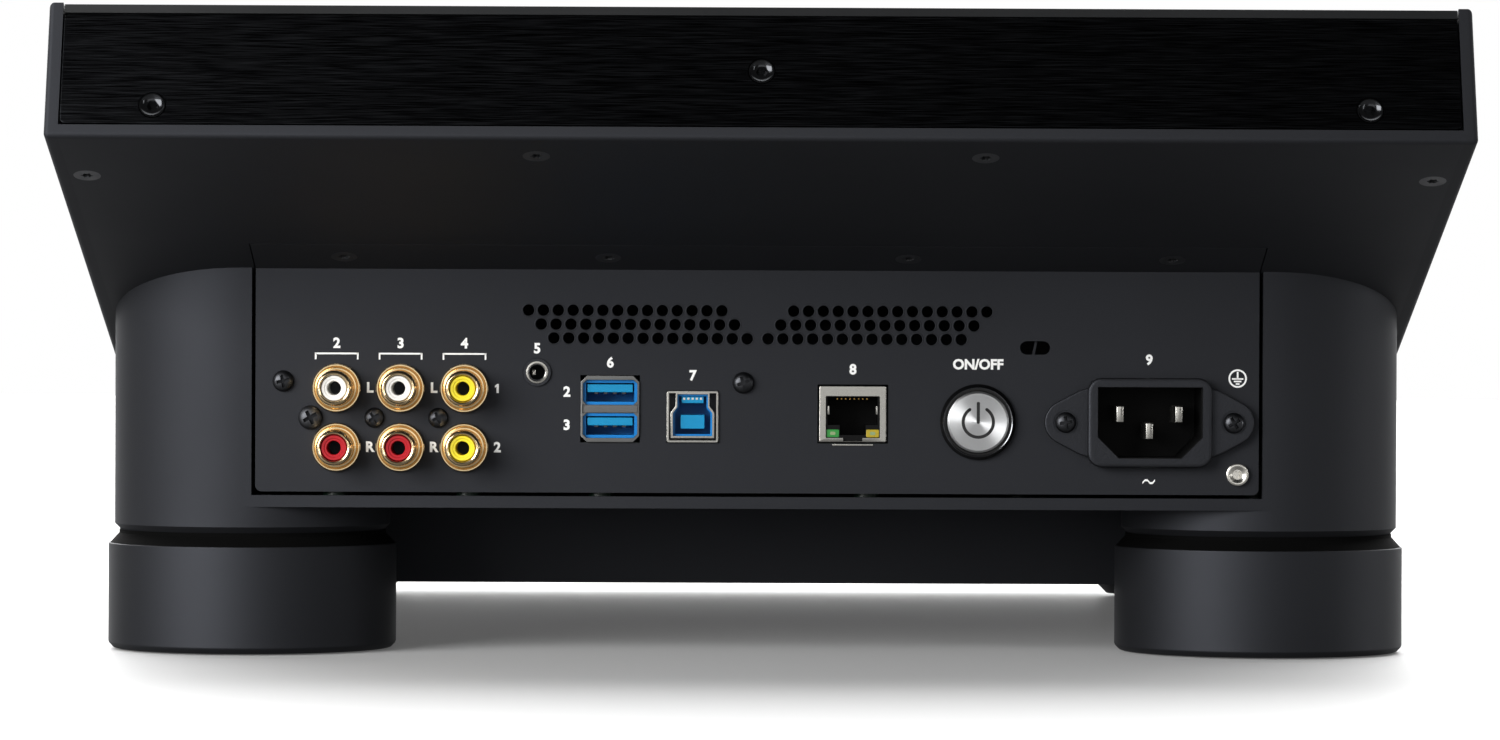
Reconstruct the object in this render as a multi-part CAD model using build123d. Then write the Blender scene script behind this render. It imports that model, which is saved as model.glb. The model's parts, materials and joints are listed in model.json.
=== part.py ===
from build123d import *
from math import cos, radians, sin, tan
import os

# A full-size media player for mixing music: a tilted display and a jog wheel on a wide slab, carried by a
# narrower base whose rear wall holds the sockets. Millimetres, +Z up. The origin is the middle of the
# footprint on the table, +X is to the right for a person who plays it, +Y is to the rear.

# Overall sizes of the upper slab
WIDTH = 320.0              # across the side cheeks
DECK_THICK = 32.0          # square to the slab's faces
DISPLAY_TILT = 19.3        # degrees
DECK_TILT = 4.0            # degrees
DISPLAY_RUN = 168.0        # display section, along its slope
LIP_Z = 120.1              # lower rear edge of the slab, above the table

# Walls and clearances
PLATE = 2.0                # top plates
LIP = 3.0                  # floor of the slab's case, which shows as a lip under the rear fascia
LIP_ROUND = 1.2
CASE_WALL = 2.5
CHEEK = 3.2
CHEEK_PROUD = 0.4          # how far the cheeks stand above the top plates
CHEEK_ROUND = 1.2
FASCIA = 2.0
SEAM = 0.3                 # gap between neighbouring covers
FIT = 0.1                  # gap round a fixed piece in its hole
SLIDE_FIT = 0.2            # gap round a key or button in its hole
RUN_FIT = 0.05             # gap between a shaft and its bore
KNEE_RIB = 3.0
FLOOR_OPEN_SIDE = 36.0     # rim left round the opening in the floor of the slab's case
FLOOR_OPEN_REAR = 116.0
FLOOR_OPEN_FRONT = 40.0
DECK_BOSS_R = 3.5
OVERCUT = 3.0              # how far a cut runs past the faces that it opens

# Base
BASE_SIDE = 3.6            # how far the base's sides stand in from the slab's
REAR_OVERHANG = 79.0       # slab beyond the base's rear wall
FRONT_OVERHANG = 16.0
POST_R = 33.5              # rounded corners of the base, and the posts over the rear feet
BASE_WALL = 3.0
SILL_BOTTOM = 35.4
SILL_HEIGHT = 2.8          # sill under the rear panel
BELLY_Z = 14.2             # underside of the deeper front part of the base
BELLY_RAKE = 6.0
BELLY_CLEAR = 2.5          # gap between the rear feet and the belly
PAN = 2.0
POST_FLOOR = 3.0
POST_CHAMFER = 1.5

# Feet
REAR_FOOT_R = 35.0
REAR_FOOT_TOP = 29.0
FOOT_TOP_CHAMFER = 2.4
FOOT_BOTTOM_CHAMFER = 2.7
FRONT_FOOT_R = 22.0
FRONT_FOOT_IN = 3.0        # front feet, outward of the corner's centre
PAD_PROUD = 1.2
PAD_THICK = 2.2
PAD_IN = 7.0               # pad radius less than its foot's

# Rear panel
PANEL_T = 1.5
PANEL_SET_IN = 0.4
PANEL_SIDE = 3.4           # from the post's centre line to the panel's edge
PANEL_GAP = 0.9
PANEL_CORNER = 1.5
FLANGE = 16.5              # top flange that lies in the slab's underside
VENT_R = 1.35
VENT_PITCH = 3.54
VENT_ROW_PITCH = 3.3
VENT_ROW_SHIFT = 3.03
VENT_COLUMNS = 14
VENT_ROWS = 3
VENT_TOP_Z = 82.5
VENT_INNER_X = 8.55

# Sockets: places are seen from behind, as a distance from the panel's middle or edge and a height
BOARD_TOP = 51.1
BOARD = 1.6
SOCKET_PROUD = 0.6
RCA_EDGE = 19.3            # first column, from the panel's left edge
RCA_PITCH_X = 15.2
RCA_PITCH_Z = 14.1
RCA_LOW_Z = 49.7
RCA_RING_R = 5.85
RCA_RING_T = 1.6
RCA_BARREL_R = 4.2
RCA_INSERT_R = 3.05
RCA_HOLE_R = 1.65
RCA_LENGTH = 9.5
RCA_INSERT_BACK = 0.7
RCA_SCREW_SIDE = 6.3
RCA_BLOCK_W = 13.4
RCA_BLOCK_D = 11.0
JACK_BOARD_TOP = 41.8
REMOTE_Z = 67.7
REMOTE_R = 3.25
REMOTE_HOLE_R = 1.8
REMOTE_BODY = 9.0
REMOTE_DEPTH = 14.0
USB_A_W = 14.0
USB_A_H = 15.9
USB_SLOT_W = 12.5
USB_SLOT_H = 5.3
USB_A_PITCH = 7.5
USB_DEPTH = 17.0
USB_POCKET = 13.0
USB_TONGUE_W = 10.8
USB_TONGUE_T = 1.9
USB_TONGUE_SHIFT = 0.9
USB_B_SIZE = 12.3
USB_B_POCKET_W = 8.8
USB_B_POCKET_H = 7.4
USB_B_NECK_W = 6.2
USB_B_NECK_H = 2.4
USB_B_CORE_W = 5.6
USB_B_CORE_H = 3.2
NETWORK_W = 16.6
NETWORK_H = 13.9
NETWORK_SKIN = 0.5
NETWORK_DEPTH = 20.0
NETWORK_POCKET_W = 11.9
NETWORK_POCKET_H = 7.6
NETWORK_POCKET = 14.0
NETWORK_LATCH_W = 6.2
NETWORK_LATCH_H = 2.4
POWER_Z = 56.3
POWER_BEZEL_R = 9.0
POWER_BEZEL_T = 1.8
POWER_BARREL_R = 8.3
POWER_BUTTON_R = 7.3
POWER_BUTTON_PROUD = 0.5
POWER_BUTTON_LENGTH = 10.0
POWER_DEPTH = 18.0
LOCK_X = 66.1
LOCK_Z = 74.0
LOCK_W = 7.2
LOCK_H = 3.2
INLET_EDGE = 26.2          # inlet's middle, from the panel's right edge
INLET_Z = 56.3
INLET_SCREWS = 40.0
INLET_EAR_R = 5.0
INLET_SHROUD_W = 29.7
INLET_SHROUD_H = 21.3
INLET_SHROUD_ROUND = 3.5
INLET_FLANGE_T = 2.2
INLET_PROUD = 4.0
INLET_BODY_W = 27.6
INLET_BODY_H = 19.4
INLET_BODY_D = 17.0
INLET_CAVITY_W = 25.0
INLET_CAVITY_H = 17.0
INLET_CAVITY_CUT = 5.0
INLET_CAVITY_D = 17.5
PIN_W = 2.0
PIN_H = 4.0
PIN_LENGTH = 15.0
PIN_SIDE = 7.0
PIN_UP = 2.0
EARTH_EDGE = 5.1
EARTH_Z = 44.0
# Spare width between the sockets, from the audio block to the inlet, is shared out in these parts
SOCKET_GAPS = (6.1, 5.9, 6.5, 23.7, 12.5, 6.8)
MIDDLE_SCREW_PART = 0.25   # place of the middle panel screw in the widest of these gaps

# Screws
SCREW_SHANK_R = 1.45
SCREW_LENGTH = 7.0
PAN_HEAD_R = 2.7
PAN_HEAD_H = 1.9
PAN_CROWN_R = 1.5
PAN_EDGE_H = 0.85
CROSS_LENGTH = 3.0         # cross recess of the dome-headed screws
CROSS_WIDTH = 0.7
CROSS_DEPTH = 1.1
FLAT_HEAD_R = 3.1
FLAT_HEAD_H = 1.5
STAR_R = 1.05              # six-lobed recess of the countersunk screws
STAR_LOBE_R = 0.32
STAR_LOBES = 6
STAR_DEPTH = 1.2
PANEL_SCREW_EDGE = 6.6     # first panel screw, from the panel's left edge
PANEL_SCREW_Z = 65.4
FASCIA_SCREW_IN = 24.0     # outer fascia screws, from the slab's sides
FASCIA_SCREW_UP = 7.7      # outer fascia screws, above the slab's underside
FASCIA_SCREW_MID = 16.5    # middle fascia screw
LIP_SCREW_X = 50.5
LIP_SCREW_RUN = 10.6       # along the underside, from the lip
SIDE_SCREW_IN = 7.2
SIDE_SCREW_RUN = 23.8
FLANGE_SCREW_EDGE = 21.5   # outer flange screws, from the panel's ends
FLANGE_SCREW_X = 35.5      # inner flange screws
FLANGE_SCREW_IN = 8.1      # from the rear panel's face, along the underside

# Display
BEZEL_SIDE = 42.0          # from the slab's sides to the glass
BEZEL_EDGE = 10.0          # in front of and behind the glass
GLASS_ROUND = 3.0
MODULE_EDGE = 3.0          # how far the display module reaches past the glass
MODULE_T = 6.0

# Jog wheel, in the deck's plane, heights above the plate
COLUMN_W = 56.8            # width of the key columns left and right of the wheel
JOG_MARGIN = 8.0           # from the front edge of the deck
JOG_TOP = 14.5
JOG_SHOULDER = 10.5
JOG_BEVEL = 4.5
JOG_LIFT = 1.2
JOG_RIM = 7.0
JOG_WEB = 3.0
JOG_PLATE_IN = 14.0        # plate radius less than the wheel's
JOG_PLATE_T = 1.5
JOG_SCREEN_R = 35.0
JOG_SCREEN_T = 2.4
JOG_SCREEN_GAP = 0.6
JOG_HUB_WALL = 5.0
JOG_NOTCHES = 60
JOG_NOTCH_R = 3.0
JOG_NOTCH_DEEP = 0.9
BEARING_R = 25.0
BEARING_WALL = 4.0
BEARING_FLANGE_R = 44.0
BEARING_FLANGE_T = 3.0
BEARING_SHOULDER = 3.0
BEARING_PLAY = 0.3         # under the hub

# Keys: caps that stand out of the plates, each with a flange underneath
KEY_RISE = 2.4
KEY_STEM = 9.0             # below the plate's top face
KEY_FLANGE = 1.0
KEY_FLANGE_T = 1.2
KEY_PLAY = 0.3             # between the flange and the plate
KEY_ROUND = 2.0
KEY_EDGE = 0.6
KEY_TRAVEL = 0.8
SWITCH_R = 3.0
PAD_SIDE = 40.8            # from the cheeks to the row of pads
PAD_GAP = 4.0
PAD_H = 20.0
PAD_MARGIN = 21.0          # in front of and behind the row of pads
PAD_COUNT = 8
TRANSPORT_D = 30.0
TRANSPORT_PITCH = 40.0
TRANSPORT_FRONT = 27.0
SMALL_KEY_W = 18.0
SMALL_KEY_H = 10.0
SMALL_KEY_PITCH = 22.0
SMALL_KEY_SIDE = 11.5      # half the distance between two small keys in a row
TRACK_GAP = 11.5           # between the cue button and the track keys
CONTROL_BOARD_DEPTH = 11.5
CONTROL_BOARD_END = 8.0    # from the board's ends to those of the front deck
BOARD_CLEAR = 3.0          # round what passes through the control board

# Knobs
KNOB_R = 10.5
KNOB_BASE = 1.4
KNOB_TOP = 15.0
KNOB_SKIRT = 1.2
KNOB_NOTCHES = 20
KNOB_NOTCH_R = 1.0
SHAFT_R = 3.0
SHAFT_TOP = 12.0
SHAFT_FLANGE_R = 5.0
SELECT_V = -34.0
BACK_V = 4.0
LOOP_GAP = 30.0

# Pitch fader
FADER_TRAVEL = 100.0
FADER_FRONT = 76.0         # slot's middle, from the front edge of the deck
FADER_STEM_W = 2.6
FADER_STEM_L = 6.0
FADER_SLOT_W = 3.6
FADER_BODY_W = 13.0
FADER_BODY_D = 11.0
FADER_FLOOR = 3.0
FADER_STEM_CLEAR = 3.0     # under the stem, in the track
FADER_END = 8.0
FADER_CAP_W = 20.0
FADER_CAP_L = 13.0
FADER_CAP_H = 9.0
FADER_CAP_LIFT = 0.8

# Front socket
FRONT_USB_SIDE = 48.0      # from the slab's left side
FRONT_SHELL_WALL = 0.7

# Inner boards
SUPPLY_W = 70.0
SUPPLY_D = 78.0
SUPPLY_Z = 44.0
STANDOFF_R = 3.0
STANDOFF_IN = 6.0
MAIN_BOARD_D = 64.0
MAIN_BOARD_MARGIN = 1.2    # beyond the sockets at both ends
SUPPLY_GAP = 9.0           # between the inlet and the supply board
# What stands on the boards: place from the front left corner, then width, length and height
PROCESSOR = (24.0, 22.0, 26.0, 26.0, 3.0)
HEAT_SINK = (24.0, 22.0, 24.0, 24.0, 9.0)
MEMORY = ((52.0, 18.0, 14.0, 11.0, 1.4), (52.0, 34.0, 14.0, 11.0, 1.4))
TRANSFORMER = (26.0, 32.0, 28.0, 24.0, 18.0)
FILTER_CHOKE = (55.0, 54.0, 16.0, 16.0, 14.0)
CAPACITORS = ((19.0, 60.0), (36.0, 60.0))
CAPACITOR_R = 7.0
CAPACITOR_H = 20.0


# Side view: points are (y, z)
def along(start, angle, distance):
    """Point at a distance from another, along a line of the given angle."""
    return (start[0] + distance * cos(radians(angle)), start[1] + distance * sin(radians(angle)))


TILT_SIN = sin(radians(DISPLAY_TILT))
TILT_COS = cos(radians(DISPLAY_TILT))
DECK_SIN = sin(radians(DECK_TILT))
DECK_COS = cos(radians(DECK_TILT))
INNER_X = WIDTH / 2 - CHEEK
JOG_R = INNER_X - COLUMN_W
DECK_RUN = JOG_MARGIN + 2 * JOG_R + 2 * PAD_MARGIN + PAD_H
LIP_OVER = DECK_THICK * TILT_SIN - LIP_ROUND * (TILT_COS + TILT_SIN - 1)
DEPTH = DECK_RUN * DECK_COS + DISPLAY_RUN * TILT_COS + LIP_OVER
LIP_Y = DEPTH / 2 + LIP_ROUND * (TILT_COS + TILT_SIN - 1)
REAR_TOP = along((LIP_Y, LIP_Z), DISPLAY_TILT + 90, DECK_THICK)
KNEE_TOP = along(REAR_TOP, DISPLAY_TILT, -DISPLAY_RUN)
FRONT_TOP = along(KNEE_TOP, DECK_TILT, -DECK_RUN)
FLOOR = DECK_THICK - LIP


def display_point(run, depth):
    """Point of the display section, by its distance from the rear face and its depth under the top face."""
    return along(along(REAR_TOP, DISPLAY_TILT + 90, -depth), DISPLAY_TILT, -run)


def deck_point(run, depth):
    """Point of the front deck, by its distance from the front face and its depth under the top face."""
    return along(along(FRONT_TOP, DECK_TILT + 90, -depth), DECK_TILT, run)


def knee_point(depth):
    """Point under the line where the display section meets the front deck."""
    half = (DISPLAY_TILT - DECK_TILT) / 2
    return along(KNEE_TOP, DECK_TILT + half + 90, -depth / cos(radians(half)))


def slab_side(top, bottom, rear=0.0, front=0.0):
    """Outline between two depths under the slab's top face, set in from its rear and front faces."""
    return [
        display_point(rear, top),
        knee_point(top),
        deck_point(front, top),
        deck_point(front, bottom),
        knee_point(bottom),
        display_point(rear, bottom),
    ]


def under_z(y):
    """Height of the slab's underside."""
    knee_y, knee_z = knee_point(DECK_THICK)
    slope = DISPLAY_TILT if y > knee_y else DECK_TILT
    return knee_z + (y - knee_y) * tan(radians(slope))


def across(points, x_from, x_to):
    """Solid with the given side view, between two X positions."""
    face = Plane.YZ * make_face(Polyline(*points, close=True))
    return Pos(x_from, 0, 0) * extrude(face, x_to - x_from)


def turned(points):
    """Solid of revolution about Z from (radius, height) points."""
    return revolve(Plane.XZ * make_face(Polyline(*points, close=True)), Axis.Z)


def tube(outer, inner, bottom, top):
    """Ring about Z."""
    return Pos(0, 0, bottom) * extrude(Circle(outer) - Circle(inner), top - bottom)


def column(outline, bottom, top):
    """Outline drawn out along Z between two heights."""
    return Pos(0, 0, bottom) * extrude(outline, top - bottom)


def group(parts):
    """Separate solids kept together as one sub-part."""
    return Compound([solid for part in parts for solid in part.solids()])


# Planes that the pieces are drawn on
DECK_MID = deck_point(DECK_RUN / 2, 0)
DECK = Plane(origin=(0, *DECK_MID), x_dir=(1, 0, 0), z_dir=(0, -DECK_SIN, DECK_COS))
DISPLAY_MID = display_point(DISPLAY_RUN / 2, 0)
DISPLAY = Plane(origin=(0, *DISPLAY_MID), x_dir=(1, 0, 0), z_dir=(0, -TILT_SIN, TILT_COS))
REAR_FACE = Plane(origin=(0, LIP_Y, LIP_Z), x_dir=(-1, 0, 0), z_dir=(0, TILT_COS, TILT_SIN))
UNDERSIDE = Plane(origin=(0, LIP_Y, LIP_Z), x_dir=(1, 0, 0), z_dir=(0, TILT_SIN, -TILT_COS))
FRONT_MID = deck_point(0, (PLATE + DECK_THICK) / 2)
FRONT_FACE = Plane(origin=(0, *FRONT_MID), x_dir=(1, 0, 0), z_dir=(0, -DECK_COS, -DECK_SIN))

# Base and rear panel places
BASE_X = WIDTH / 2 - BASE_SIDE
BASE_REAR = DEPTH / 2 - REAR_OVERHANG
BASE_FRONT = FRONT_OVERHANG - DEPTH / 2
POST_X = BASE_X - POST_R
POST_Y = BASE_REAR - POST_R
FRONT_POST_Y = BASE_FRONT + POST_R
SILL_TOP = SILL_BOTTOM + SILL_HEIGHT
BELLY_Y = POST_Y - REAR_FOOT_R - BELLY_CLEAR
PANEL_X = POST_X - PANEL_SIDE
PANEL_Y = BASE_REAR - PANEL_SET_IN
PANEL_RUN = (LIP_Y - PANEL_Y) / TILT_COS
PANEL_BOTTOM = SILL_TOP + PANEL_GAP
PANEL = Plane(origin=(0, PANEL_Y, 0), x_dir=(-1, 0, 0), z_dir=(0, 1, 0))
RCA_COLUMNS = [RCA_EDGE - PANEL_X + RCA_PITCH_X * i for i in range(3)]
RCA_ROWS = [RCA_LOW_Z, RCA_LOW_Z + RCA_PITCH_Z]
RCA_PLACES = [(x, z) for x in RCA_COLUMNS for z in RCA_ROWS]
RCA_MID_Z = RCA_LOW_Z + RCA_PITCH_Z / 2
RCA_SCREWS = [(x - RCA_SCREW_SIDE, RCA_MID_Z) for x in RCA_COLUMNS]
INLET_X = PANEL_X - INLET_EDGE
INLET_SCREW_PLACES = [(INLET_X + side * INLET_SCREWS / 2, INLET_Z) for side in (-1, 1)]
SOCKETS_LEFT = RCA_COLUMNS[-1] + RCA_BLOCK_W / 2
SOCKETS_RIGHT = INLET_X - INLET_SCREWS / 2 - INLET_EAR_R
SOCKET_WIDTHS = (REMOTE_BODY, USB_A_W, USB_B_SIZE, NETWORK_W, 2 * POWER_BEZEL_R)
SPARE_PART = (SOCKETS_RIGHT - SOCKETS_LEFT - sum(SOCKET_WIDTHS)) / sum(SOCKET_GAPS)


def socket_x(index):
    """Middle of a socket, counted from the audio block."""
    before = sum(SOCKET_WIDTHS[:index]) + SPARE_PART * sum(SOCKET_GAPS[:index + 1])
    return SOCKETS_LEFT + before + SOCKET_WIDTHS[index] / 2


REMOTE_X, USB_A_X, USB_B_X, NETWORK_X, POWER_X = [socket_x(i) for i in range(len(SOCKET_WIDTHS))]
WIDEST_GAP = SPARE_PART * max(SOCKET_GAPS)
MIDDLE_SCREW_X = USB_B_X + USB_B_SIZE / 2 + MIDDLE_SCREW_PART * WIDEST_GAP
PANEL_SCREWS = [(PANEL_SCREW_EDGE - PANEL_X, PANEL_SCREW_Z), (MIDDLE_SCREW_X, PANEL_SCREW_Z)]
EARTH_PLACE = (PANEL_X - EARTH_EDGE, EARTH_Z)
USB_A_Z = BOARD_TOP + USB_A_H / 2
USB_B_Z = BOARD_TOP + USB_B_SIZE / 2
NETWORK_Z = BOARD_TOP + NETWORK_H / 2

# Deck places: u to the right, v to the rear, from the middle of the front deck
GLASS_W = WIDTH - 2 * BEZEL_SIDE
GLASS_H = DISPLAY_RUN - 2 * BEZEL_EDGE
JOG_PLATE_R = JOG_R - JOG_PLATE_IN
JOG_V = JOG_MARGIN + JOG_R - DECK_RUN / 2
PADS_V = DECK_RUN / 2 - PAD_MARGIN - PAD_H / 2
PAD_PITCH = 2 * (INNER_X - PAD_SIDE) / PAD_COUNT
PAD_W = PAD_PITCH - PAD_GAP
COLUMN_U = (INNER_X + JOG_R) / 2
PLAY_V = TRANSPORT_FRONT - DECK_RUN / 2
CUE_V = PLAY_V + TRANSPORT_PITCH
TRACK_V = CUE_V + TRANSPORT_D / 2 + SMALL_KEY_H / 2 + TRACK_GAP
SYNC_V = TRACK_V + SMALL_KEY_PITCH
LOOP_V = SYNC_V + LOOP_GAP
FADER_V = FADER_FRONT - DECK_RUN / 2
FADER_SLOT_L = FADER_TRAVEL + FADER_STEM_L + 2 * SLIDE_FIT
FADER_BODY_L = FADER_SLOT_L + 2 * FADER_END
BEND_V = FADER_V + FADER_BODY_L / 2 + SMALL_KEY_PITCH
SELECT_U = (INNER_X + GLASS_W / 2) / 2
FRONT_USB_X = FRONT_USB_SIDE - WIDTH / 2
PAD_KEYS = {
    f"pad_{i + 1}": (PAD_PITCH * (i - (PAD_COUNT - 1) / 2), PADS_V, PAD_W, PAD_H) for i in range(PAD_COUNT)
}
DECK_KEYS = {
    **PAD_KEYS,
    "play_button": (-COLUMN_U, PLAY_V, TRANSPORT_D, None),
    "cue_button": (-COLUMN_U, CUE_V, TRANSPORT_D, None),
    "track_back_button": (-COLUMN_U - SMALL_KEY_SIDE, TRACK_V, SMALL_KEY_W, SMALL_KEY_H),
    "track_forward_button": (-COLUMN_U + SMALL_KEY_SIDE, TRACK_V, SMALL_KEY_W, SMALL_KEY_H),
    "sync_button": (-COLUMN_U, SYNC_V, SMALL_KEY_W, SMALL_KEY_H),
    "bend_down_button": (COLUMN_U - SMALL_KEY_SIDE, BEND_V, SMALL_KEY_W, SMALL_KEY_H),
    "bend_up_button": (COLUMN_U + SMALL_KEY_SIDE, BEND_V, SMALL_KEY_W, SMALL_KEY_H),
}
BACK_KEY = (SELECT_U, BACK_V, SMALL_KEY_W, SMALL_KEY_H)


# Screws stand on their local origin and point up out of the surface
def pan_screw(grow=0.0):
    """Dome-headed screw, or the hole for its shank when it grows."""
    screw = turned([
        (0, PAN_HEAD_H),
        (PAN_CROWN_R, PAN_HEAD_H),
        (PAN_HEAD_R, PAN_EDGE_H),
        (PAN_HEAD_R, 0),
        (SCREW_SHANK_R + grow, 0),
        (SCREW_SHANK_R + grow, -SCREW_LENGTH - grow),
        (0, -SCREW_LENGTH - grow),
    ])
    if grow:
        return screw
    cross = Rectangle(CROSS_LENGTH, CROSS_WIDTH) + Rectangle(CROSS_WIDTH, CROSS_LENGTH)
    return screw - column(cross, PAN_HEAD_H - CROSS_DEPTH, PAN_HEAD_H)


def flat_screw(grow=0.0):
    """Countersunk screw, or its hole when it grows."""
    screw = turned([
        (0, grow),
        (FLAT_HEAD_R + grow, grow),
        (SCREW_SHANK_R + grow, -FLAT_HEAD_H),
        (SCREW_SHANK_R + grow, -SCREW_LENGTH - grow),
        (0, -SCREW_LENGTH - grow),
    ])
    if grow:
        return screw
    star = Circle(STAR_R) + PolarLocations(STAR_R, STAR_LOBES) * Circle(STAR_LOBE_R)
    return screw - column(star, -STAR_DEPTH, 0)


def fascia_screw_places():
    """Three screws on the rear fascia, as places on the slab's rear face."""
    outer = [(side * (WIDTH / 2 - FASCIA_SCREW_IN), FASCIA_SCREW_UP) for side in (-1, 1)]
    return [REAR_FACE * Pos(x, up, 0) for x, up in outer + [(0, FASCIA_SCREW_MID)]]


def underside_screw_places():
    """Eight screws on the sloped underside: four by the lip, four in the rear panel's flange."""
    side_x = WIDTH / 2 - SIDE_SCREW_IN
    places = [(LIP_SCREW_X, LIP_SCREW_RUN), (side_x, SIDE_SCREW_RUN)]
    flange_run = PANEL_RUN - FLANGE_SCREW_IN
    places += [(PANEL_X - FLANGE_SCREW_EDGE, flange_run), (FLANGE_SCREW_X, flange_run)]
    return [UNDERSIDE * Pos(side * x, run, 0) for x, run in places for side in (-1, 1)]


def screw_group(screw, places):
    """Identical screws at several places."""
    return group([place * screw for place in places])


def on_panel(places):
    """Places on the rear panel's outer face."""
    return [PANEL * Pos(x, z, 0) for x, z in places]


# Keys
def key_outline(key, grow=0.0):
    """Outline of a key, round where it has no height of its own."""
    width, height = key[2], key[3]
    if height is None:
        return Circle(width / 2 + grow)
    return RectangleRounded(width + 2 * grow, height + 2 * grow, KEY_ROUND + grow)


def key_cap(key, plane):
    """Key cap with its retaining flange under the plate."""
    cap = column(key_outline(key), -KEY_STEM, KEY_RISE)
    cap = chamfer(cap.faces().sort_by(Axis.Z)[-1].edges(), KEY_EDGE)
    flange_top = -PLATE - KEY_PLAY
    cap += column(key_outline(key, KEY_FLANGE), flange_top - KEY_FLANGE_T, flange_top)
    return plane * Pos(key[0], key[1], 0) * cap


def key_holes(keys):
    """Outlines of the holes that the keys stand in."""
    return [Pos(key[0], key[1]) * key_outline(key, SLIDE_FIT) for key in keys]


# Upper slab
def side_cheek(side):
    """Bent side plate along the slab, with its outer edges rounded."""
    inner, outer = side * INNER_X, side * WIDTH / 2
    cheek = across(slab_side(-CHEEK_PROUD, DECK_THICK), min(inner, outer), max(inner, outer))
    lip_edge = cheek.edges().filter_by(Axis.X).sort_by(Axis.Y)[-1]
    cheek = fillet(lip_edge, LIP_ROUND)
    outer_face = cheek.faces().filter_by(Axis.X).sort_by(Axis.X)[-1 if side > 0 else 0]
    return fillet(outer_face.edges(), CHEEK_ROUND)


def deck_case():
    """Open-topped case of the slab, with a lip under the fascia and an opening down into the base."""
    case = across(slab_side(PLATE, DECK_THICK, FASCIA), -INNER_X, INNER_X)
    lip = [
        display_point(0, FLOOR),
        display_point(FASCIA + CASE_WALL, FLOOR),
        display_point(FASCIA + CASE_WALL, DECK_THICK),
        display_point(0, DECK_THICK),
    ]
    case += across(lip, -INNER_X, INNER_X)
    lip_edge = case.edges().filter_by(Axis.X).sort_by(Axis.Y)[-1]
    case = fillet(lip_edge, LIP_ROUND)
    hollow_x = INNER_X - CASE_WALL
    case -= across(slab_side(0, FLOOR, FASCIA + CASE_WALL, CASE_WALL), -hollow_x, hollow_x)
    case += across(knee_rib_side(), -hollow_x, hollow_x)
    open_x = WIDTH / 2 - FLOOR_OPEN_SIDE
    opening = slab_side(FLOOR, DECK_THICK + OVERCUT, FLOOR_OPEN_REAR, FLOOR_OPEN_FRONT)
    case -= across(opening, -open_x, open_x)
    flange_bed = [
        display_point(PANEL_RUN - FLANGE - SEAM, DECK_THICK - PANEL_T),
        display_point(PANEL_RUN - FLANGE - SEAM, DECK_THICK + OVERCUT),
        display_point(PANEL_RUN + PANEL_T + OVERCUT, DECK_THICK + OVERCUT),
        display_point(PANEL_RUN + PANEL_T + OVERCUT, DECK_THICK - PANEL_T),
    ]
    case -= across(flange_bed, -PANEL_X - SEAM, PANEL_X + SEAM)
    for u, v in board_posts():
        case += DECK * Pos(u, v, 0) * column(Circle(DECK_BOSS_R), -FLOOR, -CONTROL_BOARD_DEPTH - BOARD)
    case -= [place * flat_screw(FIT) for place in underside_screw_places()]
    case -= [place * flat_screw(FIT) for place in fascia_screw_places()]
    case -= FRONT_FACE * Pos(FRONT_USB_X, 0, -USB_DEPTH) * extrude(front_usb_outline(FIT), USB_DEPTH + OVERCUT)
    return case


def knee_rib_side():
    """Side view of the rib that carries both top plates at the knee."""
    return [
        along(knee_point(PLATE), DISPLAY_TILT, KNEE_RIB / 2),
        knee_point(PLATE),
        along(knee_point(PLATE), DECK_TILT, -KNEE_RIB / 2),
        along(knee_point(FLOOR), DECK_TILT, -KNEE_RIB / 2),
        knee_point(FLOOR),
        along(knee_point(FLOOR), DISPLAY_TILT, KNEE_RIB / 2),
    ]


def board_posts():
    """Places of the posts under the control board."""
    u = WIDTH / 2 - FLOOR_OPEN_SIDE / 2
    v = DECK_RUN / 2 - FLOOR_OPEN_FRONT / 2
    return [(side * u, end * v) for side in (-1, 1) for end in (-1, 1)]


def plate_outline(run):
    """Outline of a top plate, with seams to its neighbours."""
    return Rectangle(2 * (INNER_X - SEAM), run - 2 * SEAM)


def deck_plate():
    """Front top plate, pierced for the jog bearing, keys, knob and fader."""
    holes = key_holes(DECK_KEYS.values())
    holes.append(Pos(0, JOG_V) * Circle(BEARING_R + BEARING_SHOULDER + FIT))
    holes.append(Pos(-COLUMN_U, LOOP_V) * Circle(SHAFT_R + SEAM))
    holes.append(Pos(COLUMN_U, FADER_V) * Rectangle(FADER_SLOT_W, FADER_SLOT_L))
    return DECK * column(plate_outline(DECK_RUN) - holes, -PLATE, 0)


def display_bezel():
    """Rear top plate round the glass, with a hole for the select shaft and one for a key."""
    holes = key_holes([BACK_KEY])
    holes.append(RectangleRounded(GLASS_W + 2 * SEAM, GLASS_H + 2 * SEAM, GLASS_ROUND + SEAM))
    holes.append(Pos(SELECT_U, SELECT_V) * Circle(SHAFT_R + SLIDE_FIT))
    outline = Pos(0, SEAM / 2) * Rectangle(2 * (INNER_X - SEAM), DISPLAY_RUN - SEAM)
    return DISPLAY * column(outline - holes, -PLATE, 0)


def display_glass():
    """Touch glass, level with the bezel."""
    return DISPLAY * column(RectangleRounded(GLASS_W, GLASS_H, GLASS_ROUND), -PLATE, 0)


def display_module():
    """Flat display under the glass, held against the back of the bezel."""
    outline = Rectangle(GLASS_W + 2 * MODULE_EDGE, GLASS_H + 2 * MODULE_EDGE)
    return DISPLAY * column(outline, -PLATE - MODULE_T, -PLATE)


def rear_fascia():
    """Brushed plate that closes the slab's rear face."""
    height = FLOOR - PLATE - 2 * SEAM
    outline = Pos(0, LIP + SEAM + height / 2) * Rectangle(2 * (INNER_X - SEAM), height)
    plate = REAR_FACE * column(outline, -FASCIA, 0)
    return plate - [place * flat_screw(FIT) for place in fascia_screw_places()]


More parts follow.
